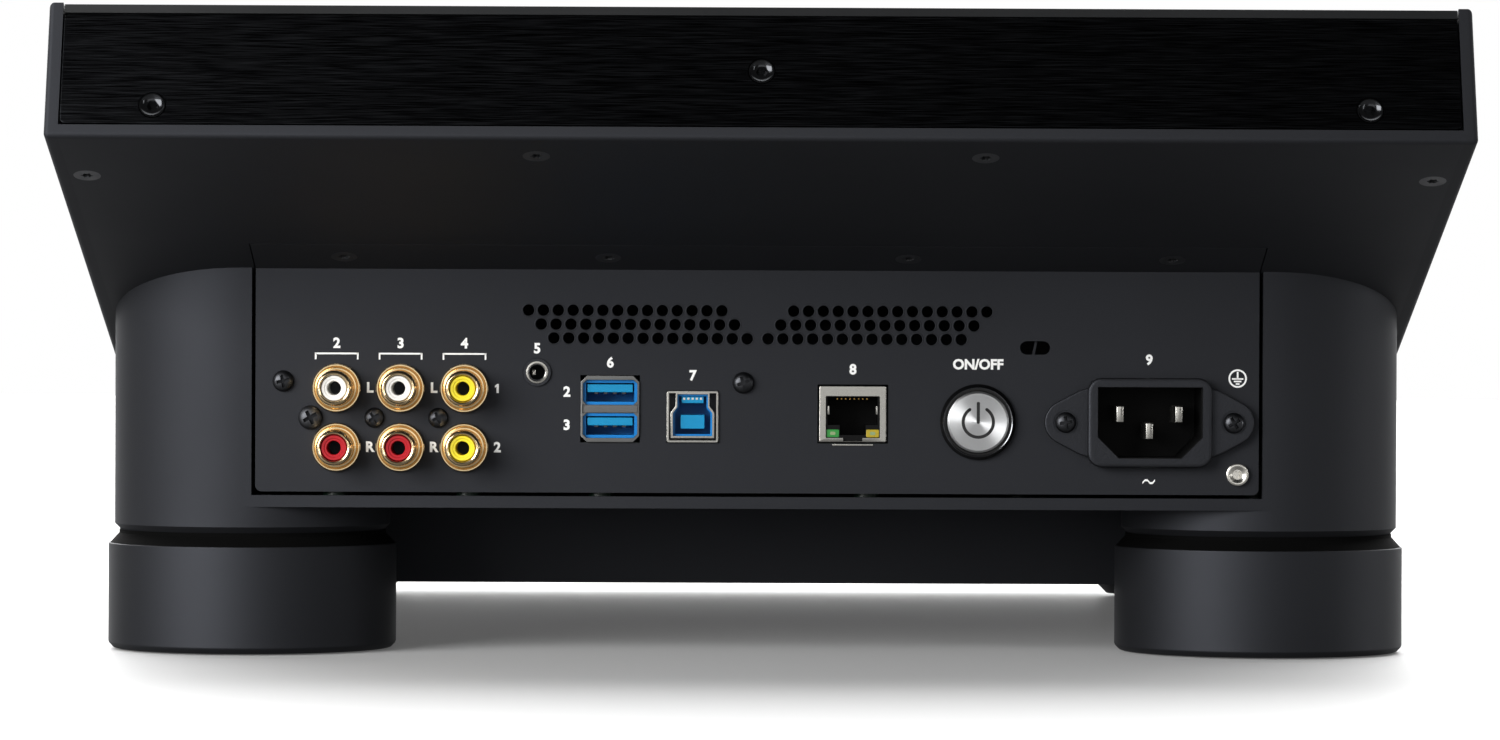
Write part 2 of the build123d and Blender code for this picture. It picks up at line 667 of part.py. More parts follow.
# Base
def base_outline(inset):
    """Footprint of the base, set in from its walls."""
    width = 2 * (BASE_X - inset)
    length = BASE_REAR - BASE_FRONT - 2 * inset
    return Pos(0, (BASE_REAR + BASE_FRONT) / 2) * RectangleRounded(width, length, POST_R - inset)


def base_side():
    """Side view of the base, from its stepped underside up to the slab."""
    return [
        (BASE_REAR, SILL_BOTTOM),
        (BASE_REAR, under_z(BASE_REAR)),
        knee_point(DECK_THICK),
        (BASE_FRONT, under_z(BASE_FRONT)),
        (BASE_FRONT, BELLY_Z),
        (BELLY_Y - BELLY_RAKE, BELLY_Z),
        (BELLY_Y, SILL_BOTTOM),
    ]


def base_housing():
    """Moulded wall of the base with the posts over the rear feet, open behind for the rear panel."""
    ring = base_outline(0) - base_outline(BASE_WALL)
    housing = extrude(ring, REAR_TOP[1]) & across(base_side(), -BASE_X, BASE_X)
    post = turned([
        (0, REAR_FOOT_TOP),
        (POST_R - POST_CHAMFER, REAR_FOOT_TOP),
        (POST_R, REAR_FOOT_TOP + POST_CHAMFER),
        (POST_R, SILL_BOTTOM),
        (POST_R - BASE_WALL, SILL_BOTTOM),
        (POST_R - BASE_WALL, REAR_FOOT_TOP + POST_FLOOR),
        (0, REAR_FOOT_TOP + POST_FLOOR),
    ])
    for side in (-1, 1):
        housing += Pos(side * POST_X, POST_Y, 0) * post
    window_x = PANEL_X + PANEL_GAP
    window = [
        (BASE_REAR + OVERCUT, SILL_TOP),
        (BASE_REAR - BASE_WALL - OVERCUT, SILL_TOP),
        (BASE_REAR - BASE_WALL - OVERCUT, REAR_TOP[1]),
        (BASE_REAR + OVERCUT, REAR_TOP[1]),
    ]
    return housing - across(window, -window_x, window_x)


def pan_top(y):
    """Height of the bottom pan's upper face."""
    return (SILL_BOTTOM if y > BELLY_Y - PAN else BELLY_Z) + PAN


def bottom_pan():
    """Stepped sheet that closes the base from below."""
    inset = BASE_WALL + SEAM
    side = [
        (BASE_REAR, SILL_BOTTOM),
        (BELLY_Y, SILL_BOTTOM),
        (BELLY_Y - BELLY_RAKE, BELLY_Z),
        (BASE_FRONT, BELLY_Z),
        (BASE_FRONT, BELLY_Z + PAN),
        (BELLY_Y - BELLY_RAKE - PAN, BELLY_Z + PAN),
        (BELLY_Y - PAN, SILL_BOTTOM + PAN),
        (BASE_REAR, SILL_BOTTOM + PAN),
    ]
    return across(side, -BASE_X, BASE_X) & extrude(base_outline(inset), REAR_TOP[1])


# Inner boards: outlines as (left, right, front, rear) in X and Y, and the height of the lower face
PANEL_BACK = PANEL_Y - PANEL_T
MAIN_BOARD = (
    -NETWORK_X - NETWORK_W / 2 - MAIN_BOARD_MARGIN,
    -USB_A_X + USB_A_W / 2 + MAIN_BOARD_MARGIN,
    PANEL_BACK - MAIN_BOARD_D,
    PANEL_BACK - SEAM,
)
JACK_BOARD = (
    -RCA_COLUMNS[-1] - RCA_BLOCK_W / 2,
    -RCA_COLUMNS[0] + RCA_BLOCK_W / 2,
    PANEL_BACK - 2 * RCA_BLOCK_D,
    PANEL_BACK - SEAM,
)
SUPPLY_REAR = PANEL_BACK - INLET_BODY_D - SUPPLY_GAP
SUPPLY_BOARD = (
    -INLET_X - SUPPLY_W / 2,
    -INLET_X + SUPPLY_W / 2,
    SUPPLY_REAR - SUPPLY_D,
    SUPPLY_REAR,
)


def standoffs(board, top):
    """Posts from the bottom pan up to a board, in from its corners."""
    left, right, front, rear = board
    xs = (left + STANDOFF_IN, right - STANDOFF_IN)
    ys = (front + STANDOFF_IN, rear - STANDOFF_IN)
    return [Pos(x, y, 0) * column(Circle(STANDOFF_R), pan_top(y), top) for x in xs for y in ys]


def board_sheet(board, bottom):
    """Bare board on its standoffs."""
    left, right, front, rear = board
    sheet = Pos((left + right) / 2, (front + rear) / 2) * Rectangle(right - left, rear - front)
    return column(sheet, bottom, bottom + BOARD) + standoffs(board, bottom)


def on_board(board, top, items):
    """Blocks that stand on a board: place from its front left corner, then width, length and height."""
    left, front = board[0], board[2]
    return [Pos(left + x, front + y, top + h / 2) * Box(w, d, h) for x, y, w, d, h in items]


def socket_boards():
    """Main board with its processor, heat sink and memory, and the small board under the audio sockets."""
    sheet = board_sheet(MAIN_BOARD, BOARD_TOP - BOARD)
    main_board = sheet + on_board(MAIN_BOARD, BOARD_TOP, [PROCESSOR, HEAT_SINK, *MEMORY])
    return group([main_board, board_sheet(JACK_BOARD, JACK_BOARD_TOP - BOARD)])


def power_supply():
    """Supply board with its transformer, capacitors and filter choke."""
    top = SUPPLY_Z + BOARD
    supply = board_sheet(SUPPLY_BOARD, SUPPLY_Z)
    supply += on_board(SUPPLY_BOARD, top, [TRANSFORMER, FILTER_CHOKE])
    for x, y in CAPACITORS:
        place = Pos(SUPPLY_BOARD[0] + x, SUPPLY_BOARD[2] + y, 0)
        supply += place * column(Circle(CAPACITOR_R), top, top + CAPACITOR_H)
    return supply


# Feet
def foot(radius, top, top_chamfer, pad_radius):
    """Turned foot with a recess for its rubber pad."""
    return turned([
        (0, PAD_THICK),
        (pad_radius + FIT, PAD_THICK),
        (pad_radius + FIT, PAD_PROUD),
        (radius - FOOT_BOTTOM_CHAMFER, PAD_PROUD),
        (radius, PAD_PROUD + FOOT_BOTTOM_CHAMFER),
        (radius, top - top_chamfer),
        (radius - top_chamfer, top),
        (0, top),
    ])


REAR_FEET = [(side * POST_X, POST_Y) for side in (-1, 1)]
FRONT_FEET = [(side * (POST_X + FRONT_FOOT_IN), FRONT_POST_Y) for side in (-1, 1)]


def rear_feet():
    """Two large feet under the posts."""
    one = foot(REAR_FOOT_R, REAR_FOOT_TOP, FOOT_TOP_CHAMFER, REAR_FOOT_R - PAD_IN)
    return group([Pos(x, y, 0) * one for x, y in REAR_FEET])


def front_feet():
    """Two smaller feet under the belly."""
    one = foot(FRONT_FOOT_R, BELLY_Z, POST_CHAMFER, FRONT_FOOT_R - PAD_IN)
    return group([Pos(x, y, 0) * one for x, y in FRONT_FEET])


def foot_pads():
    """Rubber discs under all four feet."""
    pads = [Pos(x, y, 0) * column(Circle(REAR_FOOT_R - PAD_IN), 0, PAD_THICK) for x, y in REAR_FEET]
    pads += [Pos(x, y, 0) * column(Circle(FRONT_FOOT_R - PAD_IN), 0, PAD_THICK) for x, y in FRONT_FEET]
    return group(pads)


# Rear panel
def vent_places():
    """Two slanted blocks of round vents, mirrored about the middle."""
    for row in range(VENT_ROWS):
        z = VENT_TOP_Z - row * VENT_ROW_PITCH
        for i in range(VENT_COLUMNS):
            x = VENT_INNER_X - row * VENT_ROW_SHIFT + i * VENT_PITCH
            yield (x, z)
            yield (-x, z)


def inlet_flange_outline():
    """Flange of the mains inlet: the shroud and its two screw ears in one."""
    shroud = RectangleRounded(INLET_SHROUD_W, INLET_SHROUD_H, INLET_SHROUD_ROUND)
    ears = [Pos(side * INLET_SCREWS / 2, 0) * Circle(INLET_EAR_R) for side in (-1, 1)]
    edges = shroud.edges()
    for ear in ears:
        edges += ear.edges()
    return make_hull(edges)


def panel_holes():
    """Every cut in the rear panel, as one outline seen from behind."""
    holes = [Pos(x, z) * Circle(VENT_R) for x, z in vent_places()]
    holes += [Pos(x, z) * Circle(RCA_BARREL_R + FIT) for x, z in RCA_PLACES]
    screws = RCA_SCREWS + PANEL_SCREWS + INLET_SCREW_PLACES + [EARTH_PLACE]
    holes += [Pos(x, z) * Circle(SCREW_SHANK_R + FIT) for x, z in screws]
    holes.append(Pos(REMOTE_X, REMOTE_Z) * Circle(REMOTE_R + FIT))
    holes.append(Pos(USB_A_X, USB_A_Z) * Rectangle(USB_A_W + 2 * FIT, USB_A_H + 2 * FIT))
    holes.append(Pos(USB_B_X, USB_B_Z) * Rectangle(USB_B_SIZE + 2 * FIT, USB_B_SIZE + 2 * FIT))
    holes.append(Pos(NETWORK_X, NETWORK_Z) * Rectangle(NETWORK_W + 2 * FIT, NETWORK_H + 2 * FIT))
    holes.append(Pos(POWER_X, POWER_Z) * Circle(POWER_BARREL_R + FIT))
    holes.append(Pos(LOCK_X, LOCK_Z) * SlotOverall(LOCK_W, LOCK_H))
    holes.append(Pos(INLET_X, INLET_Z) * Rectangle(INLET_BODY_W + 2 * FIT, INLET_BODY_H + 2 * FIT))
    return Sketch() + holes


def rear_panel():
    """Sheet panel with the sockets' cut-outs, bent at its top into a flange under the slab."""
    back_run = PANEL_RUN + PANEL_T / TILT_COS - PANEL_T * tan(radians(DISPLAY_TILT))
    side = [
        (PANEL_Y, PANEL_BOTTOM),
        (PANEL_Y, under_z(PANEL_Y)),
        display_point(PANEL_RUN - FLANGE, DECK_THICK),
        display_point(PANEL_RUN - FLANGE, DECK_THICK - PANEL_T),
        display_point(back_run, DECK_THICK - PANEL_T),
        (PANEL_BACK, PANEL_BOTTOM),
    ]
    panel = across(side, -PANEL_X, PANEL_X)
    corners = panel.edges().filter_by(Axis.Y).group_by(Axis.Z)[0]
    panel = fillet(corners, PANEL_CORNER)
    panel -= PANEL * column(panel_holes(), -2 * PANEL_T, PANEL_T)
    flange_screws = [place * flat_screw(FIT) for place in underside_screw_places()]
    return panel - flange_screws


# Sockets, drawn on the rear panel's outer face
def on_rear(x, z, solid):
    """Solid drawn about +Z, stood on the rear panel."""
    return PANEL * Pos(x, z, 0) * solid


def rca_shells():
    """Gold sleeves of the six audio sockets, each with a stepped ring on the panel."""
    sleeve = turned([
        (RCA_INSERT_R + RUN_FIT, -PANEL_T),
        (RCA_BARREL_R, -PANEL_T),
        (RCA_BARREL_R, 0),
        (RCA_RING_R, 0),
        (RCA_RING_R, RCA_RING_T / 2),
        (RCA_RING_R - RCA_RING_T / 2, RCA_RING_T),
        (RCA_BARREL_R, RCA_RING_T),
        (RCA_BARREL_R, RCA_LENGTH - RCA_INSERT_BACK),
        (RCA_BARREL_R - RCA_INSERT_BACK / 2, RCA_LENGTH),
        (RCA_INSERT_R + RUN_FIT, RCA_LENGTH),
    ])
    return group([on_rear(x, z, sleeve) for x, z in RCA_PLACES])


def rca_inserts():
    """Coloured insulators inside the audio sockets."""
    ring = tube(RCA_INSERT_R, RCA_HOLE_R, -PANEL_T, RCA_LENGTH - RCA_INSERT_BACK)
    return group([on_rear(x, z, ring) for x, z in RCA_PLACES])


def rca_blocks():
    """Moulded bodies behind the panel, one for each pair of audio sockets."""
    top = RCA_ROWS[1] + RCA_BLOCK_W / 2
    outline = Pos(0, (JACK_BOARD_TOP + top) / 2) * Rectangle(RCA_BLOCK_W, top - JACK_BOARD_TOP)
    block = column(outline, -PANEL_T - RCA_BLOCK_D, -PANEL_T)
    blocks = group([on_rear(x, 0, block) for x in RCA_COLUMNS])
    return blocks - [place * pan_screw(FIT) for place in on_panel(RCA_SCREWS)]


def remote_jack():
    """Small round jack, its body behind the panel."""
    jack = column(Rectangle(REMOTE_BODY, REMOTE_BODY), -PANEL_T - REMOTE_DEPTH, -PANEL_T)
    jack += column(Circle(REMOTE_R), -PANEL_T, SOCKET_PROUD)
    jack -= column(Circle(REMOTE_HOLE_R), -REMOTE_DEPTH, SOCKET_PROUD)
    return on_rear(REMOTE_X, REMOTE_Z, jack)


def socket_body(outline):
    """Socket shell from just outside the panel to its back."""
    return column(outline, SOCKET_PROUD - USB_DEPTH, SOCKET_PROUD)


def usb_a_shell():
    """Two flat sockets in one metal shell, one over the other."""
    shell = socket_body(RectangleRounded(USB_A_W, USB_A_H, SOCKET_PROUD))
    for up in (-USB_A_PITCH / 2, USB_A_PITCH / 2):
        slot = Pos(0, up) * Rectangle(USB_SLOT_W, USB_SLOT_H)
        shell -= column(slot, SOCKET_PROUD - USB_POCKET, SOCKET_PROUD)
    return on_rear(USB_A_X, USB_A_Z, shell)


def usb_tongue():
    """Contact tongue of a flat socket."""
    outline = Pos(0, USB_TONGUE_SHIFT) * Rectangle(USB_TONGUE_W, USB_TONGUE_T)
    return column(outline, SOCKET_PROUD - USB_POCKET, -SOCKET_PROUD)


def usb_cores():
    """Coloured tongues of the flat sockets and block of the square one."""
    levels = (USB_A_Z - USB_A_PITCH / 2, USB_A_Z + USB_A_PITCH / 2)
    cores = [on_rear(USB_A_X, z, usb_tongue()) for z in levels]
    cores.append(FRONT_FACE * Pos(FRONT_USB_X, 0, -SOCKET_PROUD) * usb_tongue())
    block = Pos(0, -USB_B_NECK_H / 2) * Rectangle(USB_B_CORE_W, USB_B_CORE_H)
    cores.append(on_rear(USB_B_X, USB_B_Z, column(block, SOCKET_PROUD - USB_POCKET, -SOCKET_PROUD)))
    return group(cores)


def usb_b_pocket():
    """Stepped opening of the square socket."""
    neck_z = (USB_B_POCKET_H + USB_B_NECK_H) / 2
    pocket = Rectangle(USB_B_POCKET_W, USB_B_POCKET_H) + Pos(0, neck_z) * Rectangle(USB_B_NECK_W, USB_B_NECK_H)
    return Pos(0, -USB_B_NECK_H / 2) * pocket


def usb_b_shell():
    """Square socket's metal shell."""
    shell = socket_body(RectangleRounded(USB_B_SIZE, USB_B_SIZE, SOCKET_PROUD))
    shell -= column(usb_b_pocket(), SOCKET_PROUD - USB_POCKET, SOCKET_PROUD)
    return on_rear(USB_B_X, USB_B_Z, shell)


def network_shell():
    """Metal shield round the network socket."""
    outline = Rectangle(NETWORK_W, NETWORK_H)
    inner = Rectangle(NETWORK_W - 2 * NETWORK_SKIN, NETWORK_H - 2 * NETWORK_SKIN)
    shell = column(outline - inner, SOCKET_PROUD - NETWORK_DEPTH, SOCKET_PROUD)
    return on_rear(NETWORK_X, NETWORK_Z, shell)


def network_core():
    """Moulded network socket with its latch notch at the bottom."""
    core = Rectangle(NETWORK_W - 2 * NETWORK_SKIN, NETWORK_H - 2 * NETWORK_SKIN)
    notch_z = -(NETWORK_POCKET_H + NETWORK_LATCH_H) / 2
    pocket = Rectangle(NETWORK_POCKET_W, NETWORK_POCKET_H)
    pocket += Pos(0, notch_z) * Rectangle(NETWORK_LATCH_W, NETWORK_LATCH_H)
    pocket = Pos(0, NETWORK_LATCH_H / 2) * pocket
    block = column(core, SOCKET_PROUD - NETWORK_DEPTH, 0)
    return on_rear(NETWORK_X, NETWORK_Z, block - column(pocket, -NETWORK_POCKET, 0))


def power_bezel():
    """Round switch body that passes through the panel, with a bezel outside."""
    bore = POWER_BUTTON_R + SLIDE_FIT
    body = turned([
        (0, -POWER_DEPTH - PANEL_T),
        (POWER_BARREL_R, -POWER_DEPTH - PANEL_T),
        (POWER_BARREL_R, 0),
        (POWER_BEZEL_R, 0),
        (POWER_BEZEL_R, POWER_BEZEL_T / 2),
        (POWER_BEZEL_R - POWER_BEZEL_T / 2, POWER_BEZEL_T),
        (bore, POWER_BEZEL_T),
        (bore, -POWER_DEPTH),
        (0, -POWER_DEPTH),
    ])
    return on_rear(POWER_X, POWER_Z, body)


def power_button():
    """Metal push button in the switch body."""
    top = POWER_BEZEL_T + POWER_BUTTON_PROUD
    button = turned([
        (0, top),
        (POWER_BUTTON_R - POWER_BUTTON_PROUD, top),
        (POWER_BUTTON_R, POWER_BEZEL_T),
        (POWER_BUTTON_R, top - POWER_BUTTON_LENGTH),
        (0, top - POWER_BUTTON_LENGTH),
    ])
    return on_rear(POWER_X, POWER_Z, button)


def mains_inlet():
    """Mains inlet with two screw ears and a cavity whose lower corners are cut off."""
    inlet = column(inlet_flange_outline(), 0, INLET_FLANGE_T)
    inlet += column(RectangleRounded(INLET_SHROUD_W, INLET_SHROUD_H, INLET_SHROUD_ROUND), 0, INLET_PROUD)
    inlet += column(Rectangle(INLET_BODY_W, INLET_BODY_H), -PANEL_T - INLET_BODY_D, 0)
    half_w, half_h = INLET_CAVITY_W / 2, INLET_CAVITY_H / 2
    cavity = make_face(Polyline(
        (-half_w, half_h),
        (half_w, half_h),
        (half_w, INLET_CAVITY_CUT - half_h),
        (half_w - INLET_CAVITY_CUT, -half_h),
        (INLET_CAVITY_CUT - half_w, -half_h),
        (-half_w, INLET_CAVITY_CUT - half_h),
        close=True,
    ))
    inlet -= column(cavity, INLET_PROUD - INLET_CAVITY_D, INLET_PROUD)
    inlet = on_rear(INLET_X, INLET_Z, inlet)
    holes = [PANEL * Pos(x, z, INLET_FLANGE_T) * pan_screw(FIT) for x, z in INLET_SCREW_PLACES]
    return inlet - holes


def mains_pins():
    """Three flat pins of the mains inlet."""
    pin = column(Rectangle(PIN_W, PIN_H), INLET_PROUD - INLET_CAVITY_D, INLET_PROUD - INLET_CAVITY_D + PIN_LENGTH)
    places = [(-PIN_SIDE, PIN_UP), (PIN_SIDE, PIN_UP), (0, -PIN_UP)]
    return group([on_rear(INLET_X + x, INLET_Z + z, pin) for x, z in places])


def panel_screws():
    """Black screws on the rear panel and in the inlet's ears."""
    places = on_panel(RCA_SCREWS + PANEL_SCREWS)
    places += [PANEL * Pos(x, z, INLET_FLANGE_T) for x, z in INLET_SCREW_PLACES]
    return screw_group(pan_screw(), places)


def earth_screw():
    """Bright screw beside the earth sign."""
    return screw_group(pan_screw(), on_panel([EARTH_PLACE]))


# Front socket
def front_usb_outline(grow=0.0):
    """Outline of the front socket's shell."""
    edge = 2 * (FRONT_SHELL_WALL + grow)
    return Rectangle(USB_SLOT_W + edge, USB_SLOT_H + edge)


def front_usb_shell():
    """Flat socket in the slab's front wall."""
    shell = column(front_usb_outline(), -USB_DEPTH, 0)
    pocket = Rectangle(USB_SLOT_W, USB_SLOT_H)
    shell -= column(pocket, -USB_POCKET, 0)
    return FRONT_FACE * Pos(FRONT_USB_X, 0, 0) * shell


# Jog wheel
def on_jog(solid):
    """Solid drawn about +Z, stood at the jog wheel's centre on the deck."""
    return DECK * Pos(0, JOG_V, 0) * solid


def jog_wheel():
    """Turned wheel with a hollow underside, a hub for the bearing and notches round its rim."""
    bore = BEARING_R + RUN_FIT
    hub = bore + JOG_HUB_WALL
    seat = JOG_TOP - JOG_PLATE_T
    web = seat - JOG_WEB
    screen_r = JOG_SCREEN_R + JOG_SCREEN_GAP
    screen_floor = JOG_TOP - JOG_SCREEN_T - JOG_SCREEN_GAP
    wheel = turned([
        (bore, BEARING_PLAY),
        (hub, BEARING_PLAY),
        (hub, web - JOG_WEB),
        (screen_r + JOG_WEB, web),
        (JOG_R - JOG_RIM, web),
        (JOG_R - JOG_RIM, JOG_LIFT),
        (JOG_R, JOG_LIFT),
        (JOG_R, JOG_SHOULDER),
        (JOG_R - JOG_BEVEL, JOG_TOP),
        (JOG_PLATE_R + FIT, JOG_TOP),
        (JOG_PLATE_R + FIT, seat),
        (screen_r, seat),
        (screen_r, screen_floor),
        (bore, screen_floor),
    ])
    notch = Pos(JOG_R + JOG_NOTCH_R - JOG_NOTCH_DEEP, 0) * Circle(JOG_NOTCH_R)
    notches = Sketch() + PolarLocations(0, JOG_NOTCHES) * notch
    return on_jog(wheel - column(notches, JOG_LIFT - OVERCUT, JOG_TOP))


def jog_plate():
    """Flat touch plate set into the wheel's top."""
    return on_jog(tube(JOG_PLATE_R, JOG_SCREEN_R + JOG_SCREEN_GAP, JOG_TOP - JOG_PLATE_T, JOG_TOP))


def jog_bearing():
    """Fixed bearing tube that the wheel turns on, flanged under the deck plate."""
    inner = BEARING_R - BEARING_WALL
    top = JOG_TOP - JOG_SCREEN_T
    return on_jog(turned([
        (inner, -PLATE - BEARING_FLANGE_T),
        (BEARING_FLANGE_R, -PLATE - BEARING_FLANGE_T),
        (BEARING_FLANGE_R, -PLATE),
        (BEARING_R + BEARING_SHOULDER, -PLATE),
        (BEARING_R + BEARING_SHOULDER, 0),
        (BEARING_R, 0),
        (BEARING_R, top),
        (inner, top),
    ]))


def jog_screen():
    """Round display that stands still in the middle of the wheel."""
    neck = BEARING_R - BEARING_WALL - FIT
    under = JOG_TOP - JOG_SCREEN_T
    return on_jog(turned([
        (0, JOG_TOP),
        (JOG_SCREEN_R, JOG_TOP),
        (JOG_SCREEN_R, under),
        (neck, under),
        (neck, 0),
        (0, 0),
    ]))


# Knobs
def knob():
    """Grooved knob with a blind bore for its shaft."""
    turned_knob = turned([
        (SHAFT_R + RUN_FIT, KNOB_BASE),
        (KNOB_R, KNOB_BASE),
        (KNOB_R, KNOB_BASE + KNOB_SKIRT),
        (KNOB_R - KNOB_SKIRT, KNOB_BASE + 2 * KNOB_SKIRT),
        (KNOB_R - KNOB_SKIRT, KNOB_TOP - KNOB_SKIRT),
        (KNOB_R - 2 * KNOB_SKIRT, KNOB_TOP),
        (0, KNOB_TOP),
        (0, SHAFT_TOP + KEY_PLAY),
        (SHAFT_R + RUN_FIT, SHAFT_TOP + KEY_PLAY),
    ])
    groove = Pos(KNOB_R - KNOB_SKIRT + KNOB_NOTCH_R / 2, 0) * Circle(KNOB_NOTCH_R)
    grooves = Sketch() + PolarLocations(0, KNOB_NOTCHES) * groove
    return turned_knob - column(grooves, KNOB_BASE + 2 * KNOB_SKIRT, KNOB_TOP + OVERCUT)


def loop_knob():
    """Knob on the deck, turning on the control board's encoder shaft."""
    return DECK * Pos(-COLUMN_U, LOOP_V, 0) * knob()


def select_knob():
    """Knob beside the display, turning on the select shaft."""
    return DISPLAY * Pos(SELECT_U, SELECT_V, 0) * knob()


def select_shaft():
    """Shaft that is pressed through the bezel, with a flange that stops it from underneath."""
    flange_top = -PLATE - KEY_PLAY
    shaft = column(Circle(SHAFT_R), -KEY_STEM, SHAFT_TOP)
    shaft += column(Circle(SHAFT_FLANGE_R), flange_top - KEY_FLANGE_T, flange_top)
    return DISPLAY * Pos(SELECT_U, SELECT_V, 0) * shaft


# Control board and fader
def control_board():
    """Board under the front deck with a switch below every key and the loop knob's shaft."""
    margin = CASE_WALL + SEAM
    outline = Rectangle(2 * (INNER_X - margin), DECK_RUN - 2 * CONTROL_BOARD_END)
    outline -= Pos(0, JOG_V) * Circle(BEARING_FLANGE_R + BOARD_CLEAR)
    outline -= Pos(COLUMN_U, FADER_V) * Rectangle(FADER_BODY_W + 2 * SEAM, FADER_BODY_L + 2 * SEAM)
    outline -= front_socket_clearance()
    board = column(outline, -CONTROL_BOARD_DEPTH - BOARD, -CONTROL_BOARD_DEPTH)
    switch_top = -KEY_STEM - KEY_TRAVEL - FIT
    for u, v, _, _ in DECK_KEYS.values():
        board += Pos(u, v, 0) * column(Circle(SWITCH_R), -CONTROL_BOARD_DEPTH, switch_top)
    board += Pos(-COLUMN_U, LOOP_V, 0) * column(Circle(SHAFT_R), -CONTROL_BOARD_DEPTH, SHAFT_TOP)
    return DECK * board


def front_socket_clearance():
    """Notch in the control board round the front socket."""
    length = USB_DEPTH + BOARD_CLEAR
    return Pos(FRONT_USB_X, length / 2 - DECK_RUN / 2) * Rectangle(USB_SLOT_W + 2 * BOARD_CLEAR, length)


def fader_body():
    """Slide track of the pitch fader, fixed under the deck plate."""
    body = Rectangle(FADER_BODY_W, FADER_BODY_L)
    track = column(body, -PLATE - FADER_BODY_D, -PLATE)
    slot = Rectangle(FADER_SLOT_W, FADER_SLOT_L)
    track -= column(slot, FADER_FLOOR - PLATE - FADER_BODY_D, -PLATE)
    return DECK * Pos(COLUMN_U, FADER_V, 0) * track


def fader_cap():
    """Ridged fader cap with its stem down in the track."""
    bottom = FADER_CAP_LIFT
    top = FADER_CAP_LIFT + FADER_CAP_H
    half = FADER_CAP_L / 2
    dip = FADER_CAP_H / 4
    side = [
        (-half, bottom),
        (-half + dip, top),
        (-dip, top),
        (0, top - dip),
        (dip, top),
        (half - dip, top),
        (half, bottom),
    ]
    cap = across(side, -FADER_CAP_W / 2, FADER_CAP_W / 2)
    stem = Rectangle(FADER_STEM_W, FADER_STEM_L)
    stem_bottom = FADER_FLOOR + FADER_STEM_CLEAR - PLATE - FADER_BODY_D
    cap += column(stem, stem_bottom, bottom)
    return DECK * Pos(COLUMN_U, FADER_V, 0) * cap


PARTS = {
    "side_cheek_left": side_cheek(-1),
    "side_cheek_right": side_cheek(1),
    "deck_case": deck_case(),
    "deck_plate": deck_plate(),
    "display_bezel": display_bezel(),
    "display_glass": display_glass(),
    "display_module": display_module(),
    "rear_fascia": rear_fascia(),
    "base_housing": base_housing(),
    "bottom_pan": bottom_pan(),
    "socket_boards": socket_boards(),
    "power_supply": power_supply(),
    "rear_feet": rear_feet(),
    "front_feet": front_feet(),
    "foot_pads": foot_pads(),
    "rear_panel": rear_panel(),
    "rca_shells": rca_shells(),
    "rca_inserts": rca_inserts(),
    "rca_blocks": rca_blocks(),
    "remote_jack": remote_jack(),
    "usb_a_shell": usb_a_shell(),
    "usb_cores": usb_cores(),
    "usb_b_shell": usb_b_shell(),
    "network_shell": network_shell(),
    "network_core": network_core(),
    "power_bezel": power_bezel(),
    "power_button": power_button(),
    "mains_inlet": mains_inlet(),
    "mains_pins": mains_pins(),
    "panel_screws": panel_screws(),
    "earth_screw": earth_screw(),
    "fascia_screws": screw_group(flat_screw(), fascia_screw_places()),
    "underside_screws": screw_group(flat_screw(), underside_screw_places()),
    "front_usb_shell": front_usb_shell(),
    "jog_wheel": jog_wheel(),
    "jog_plate": jog_plate(),
    "jog_bearing": jog_bearing(),
    "jog_screen": jog_screen(),
    "loop_knob": loop_knob(),
    "select_knob": select_knob(),
    "select_shaft": select_shaft(),
    "control_board": control_board(),
    "fader_body": fader_body(),
    "fader_cap": fader_cap(),
    "back_button": key_cap(BACK_KEY, DISPLAY),
    **{name: key_cap(key, DECK) for name, key in DECK_KEYS.items()},
}

os.makedirs("parts", exist_ok=True)
for name, part in PARTS.items():
    export_step(part, f"parts/{name}.step")
print(len(PARTS), "sub-parts written")
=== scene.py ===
# %% [markdown]
# # A music player for mixing, dressed on its CAD frame
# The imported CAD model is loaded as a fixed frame, in metres, with the origin under the middle of the player.
# Everything below gives those solids their finishes and adds the fine pieces that a drawing leaves out.

# %% Load the frame
import json
import math
import bmesh
import bpy
from mathutils import Matrix, Vector


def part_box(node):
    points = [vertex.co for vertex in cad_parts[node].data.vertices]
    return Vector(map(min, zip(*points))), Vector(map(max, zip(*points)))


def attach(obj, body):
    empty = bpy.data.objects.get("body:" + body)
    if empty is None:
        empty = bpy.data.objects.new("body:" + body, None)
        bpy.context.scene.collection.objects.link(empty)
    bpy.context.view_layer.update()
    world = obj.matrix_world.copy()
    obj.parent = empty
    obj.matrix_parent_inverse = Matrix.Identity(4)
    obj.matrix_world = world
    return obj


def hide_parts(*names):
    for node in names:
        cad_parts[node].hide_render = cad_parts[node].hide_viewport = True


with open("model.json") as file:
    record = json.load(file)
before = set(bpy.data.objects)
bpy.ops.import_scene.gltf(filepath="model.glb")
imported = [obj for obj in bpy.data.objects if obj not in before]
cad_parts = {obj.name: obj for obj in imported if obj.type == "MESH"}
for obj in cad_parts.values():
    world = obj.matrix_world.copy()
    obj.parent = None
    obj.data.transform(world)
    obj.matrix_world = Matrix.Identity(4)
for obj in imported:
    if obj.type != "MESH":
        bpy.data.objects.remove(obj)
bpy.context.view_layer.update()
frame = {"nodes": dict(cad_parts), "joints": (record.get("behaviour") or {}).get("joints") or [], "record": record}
scene = bpy.context.scene

# %% [markdown]
# ## Camera
# The player is seen from behind through a long lens, almost square to the socket panel. A camera can be set by
# angles or by its three axes. The axes are used here, because yaw, pitch and roll are then each one short step.

# %% Camera
IMAGE_WIDTH, FOCAL_PIXELS = 1500, 5200
SENSOR_MM = 36.0
NEAREST = 0.01
CAMERA_PLACE = Vector((0.0104, 1.378, 0.0744))
YAW, PITCH, ROLL = math.radians(0.397), math.radians(0.275), math.radians(0.24)

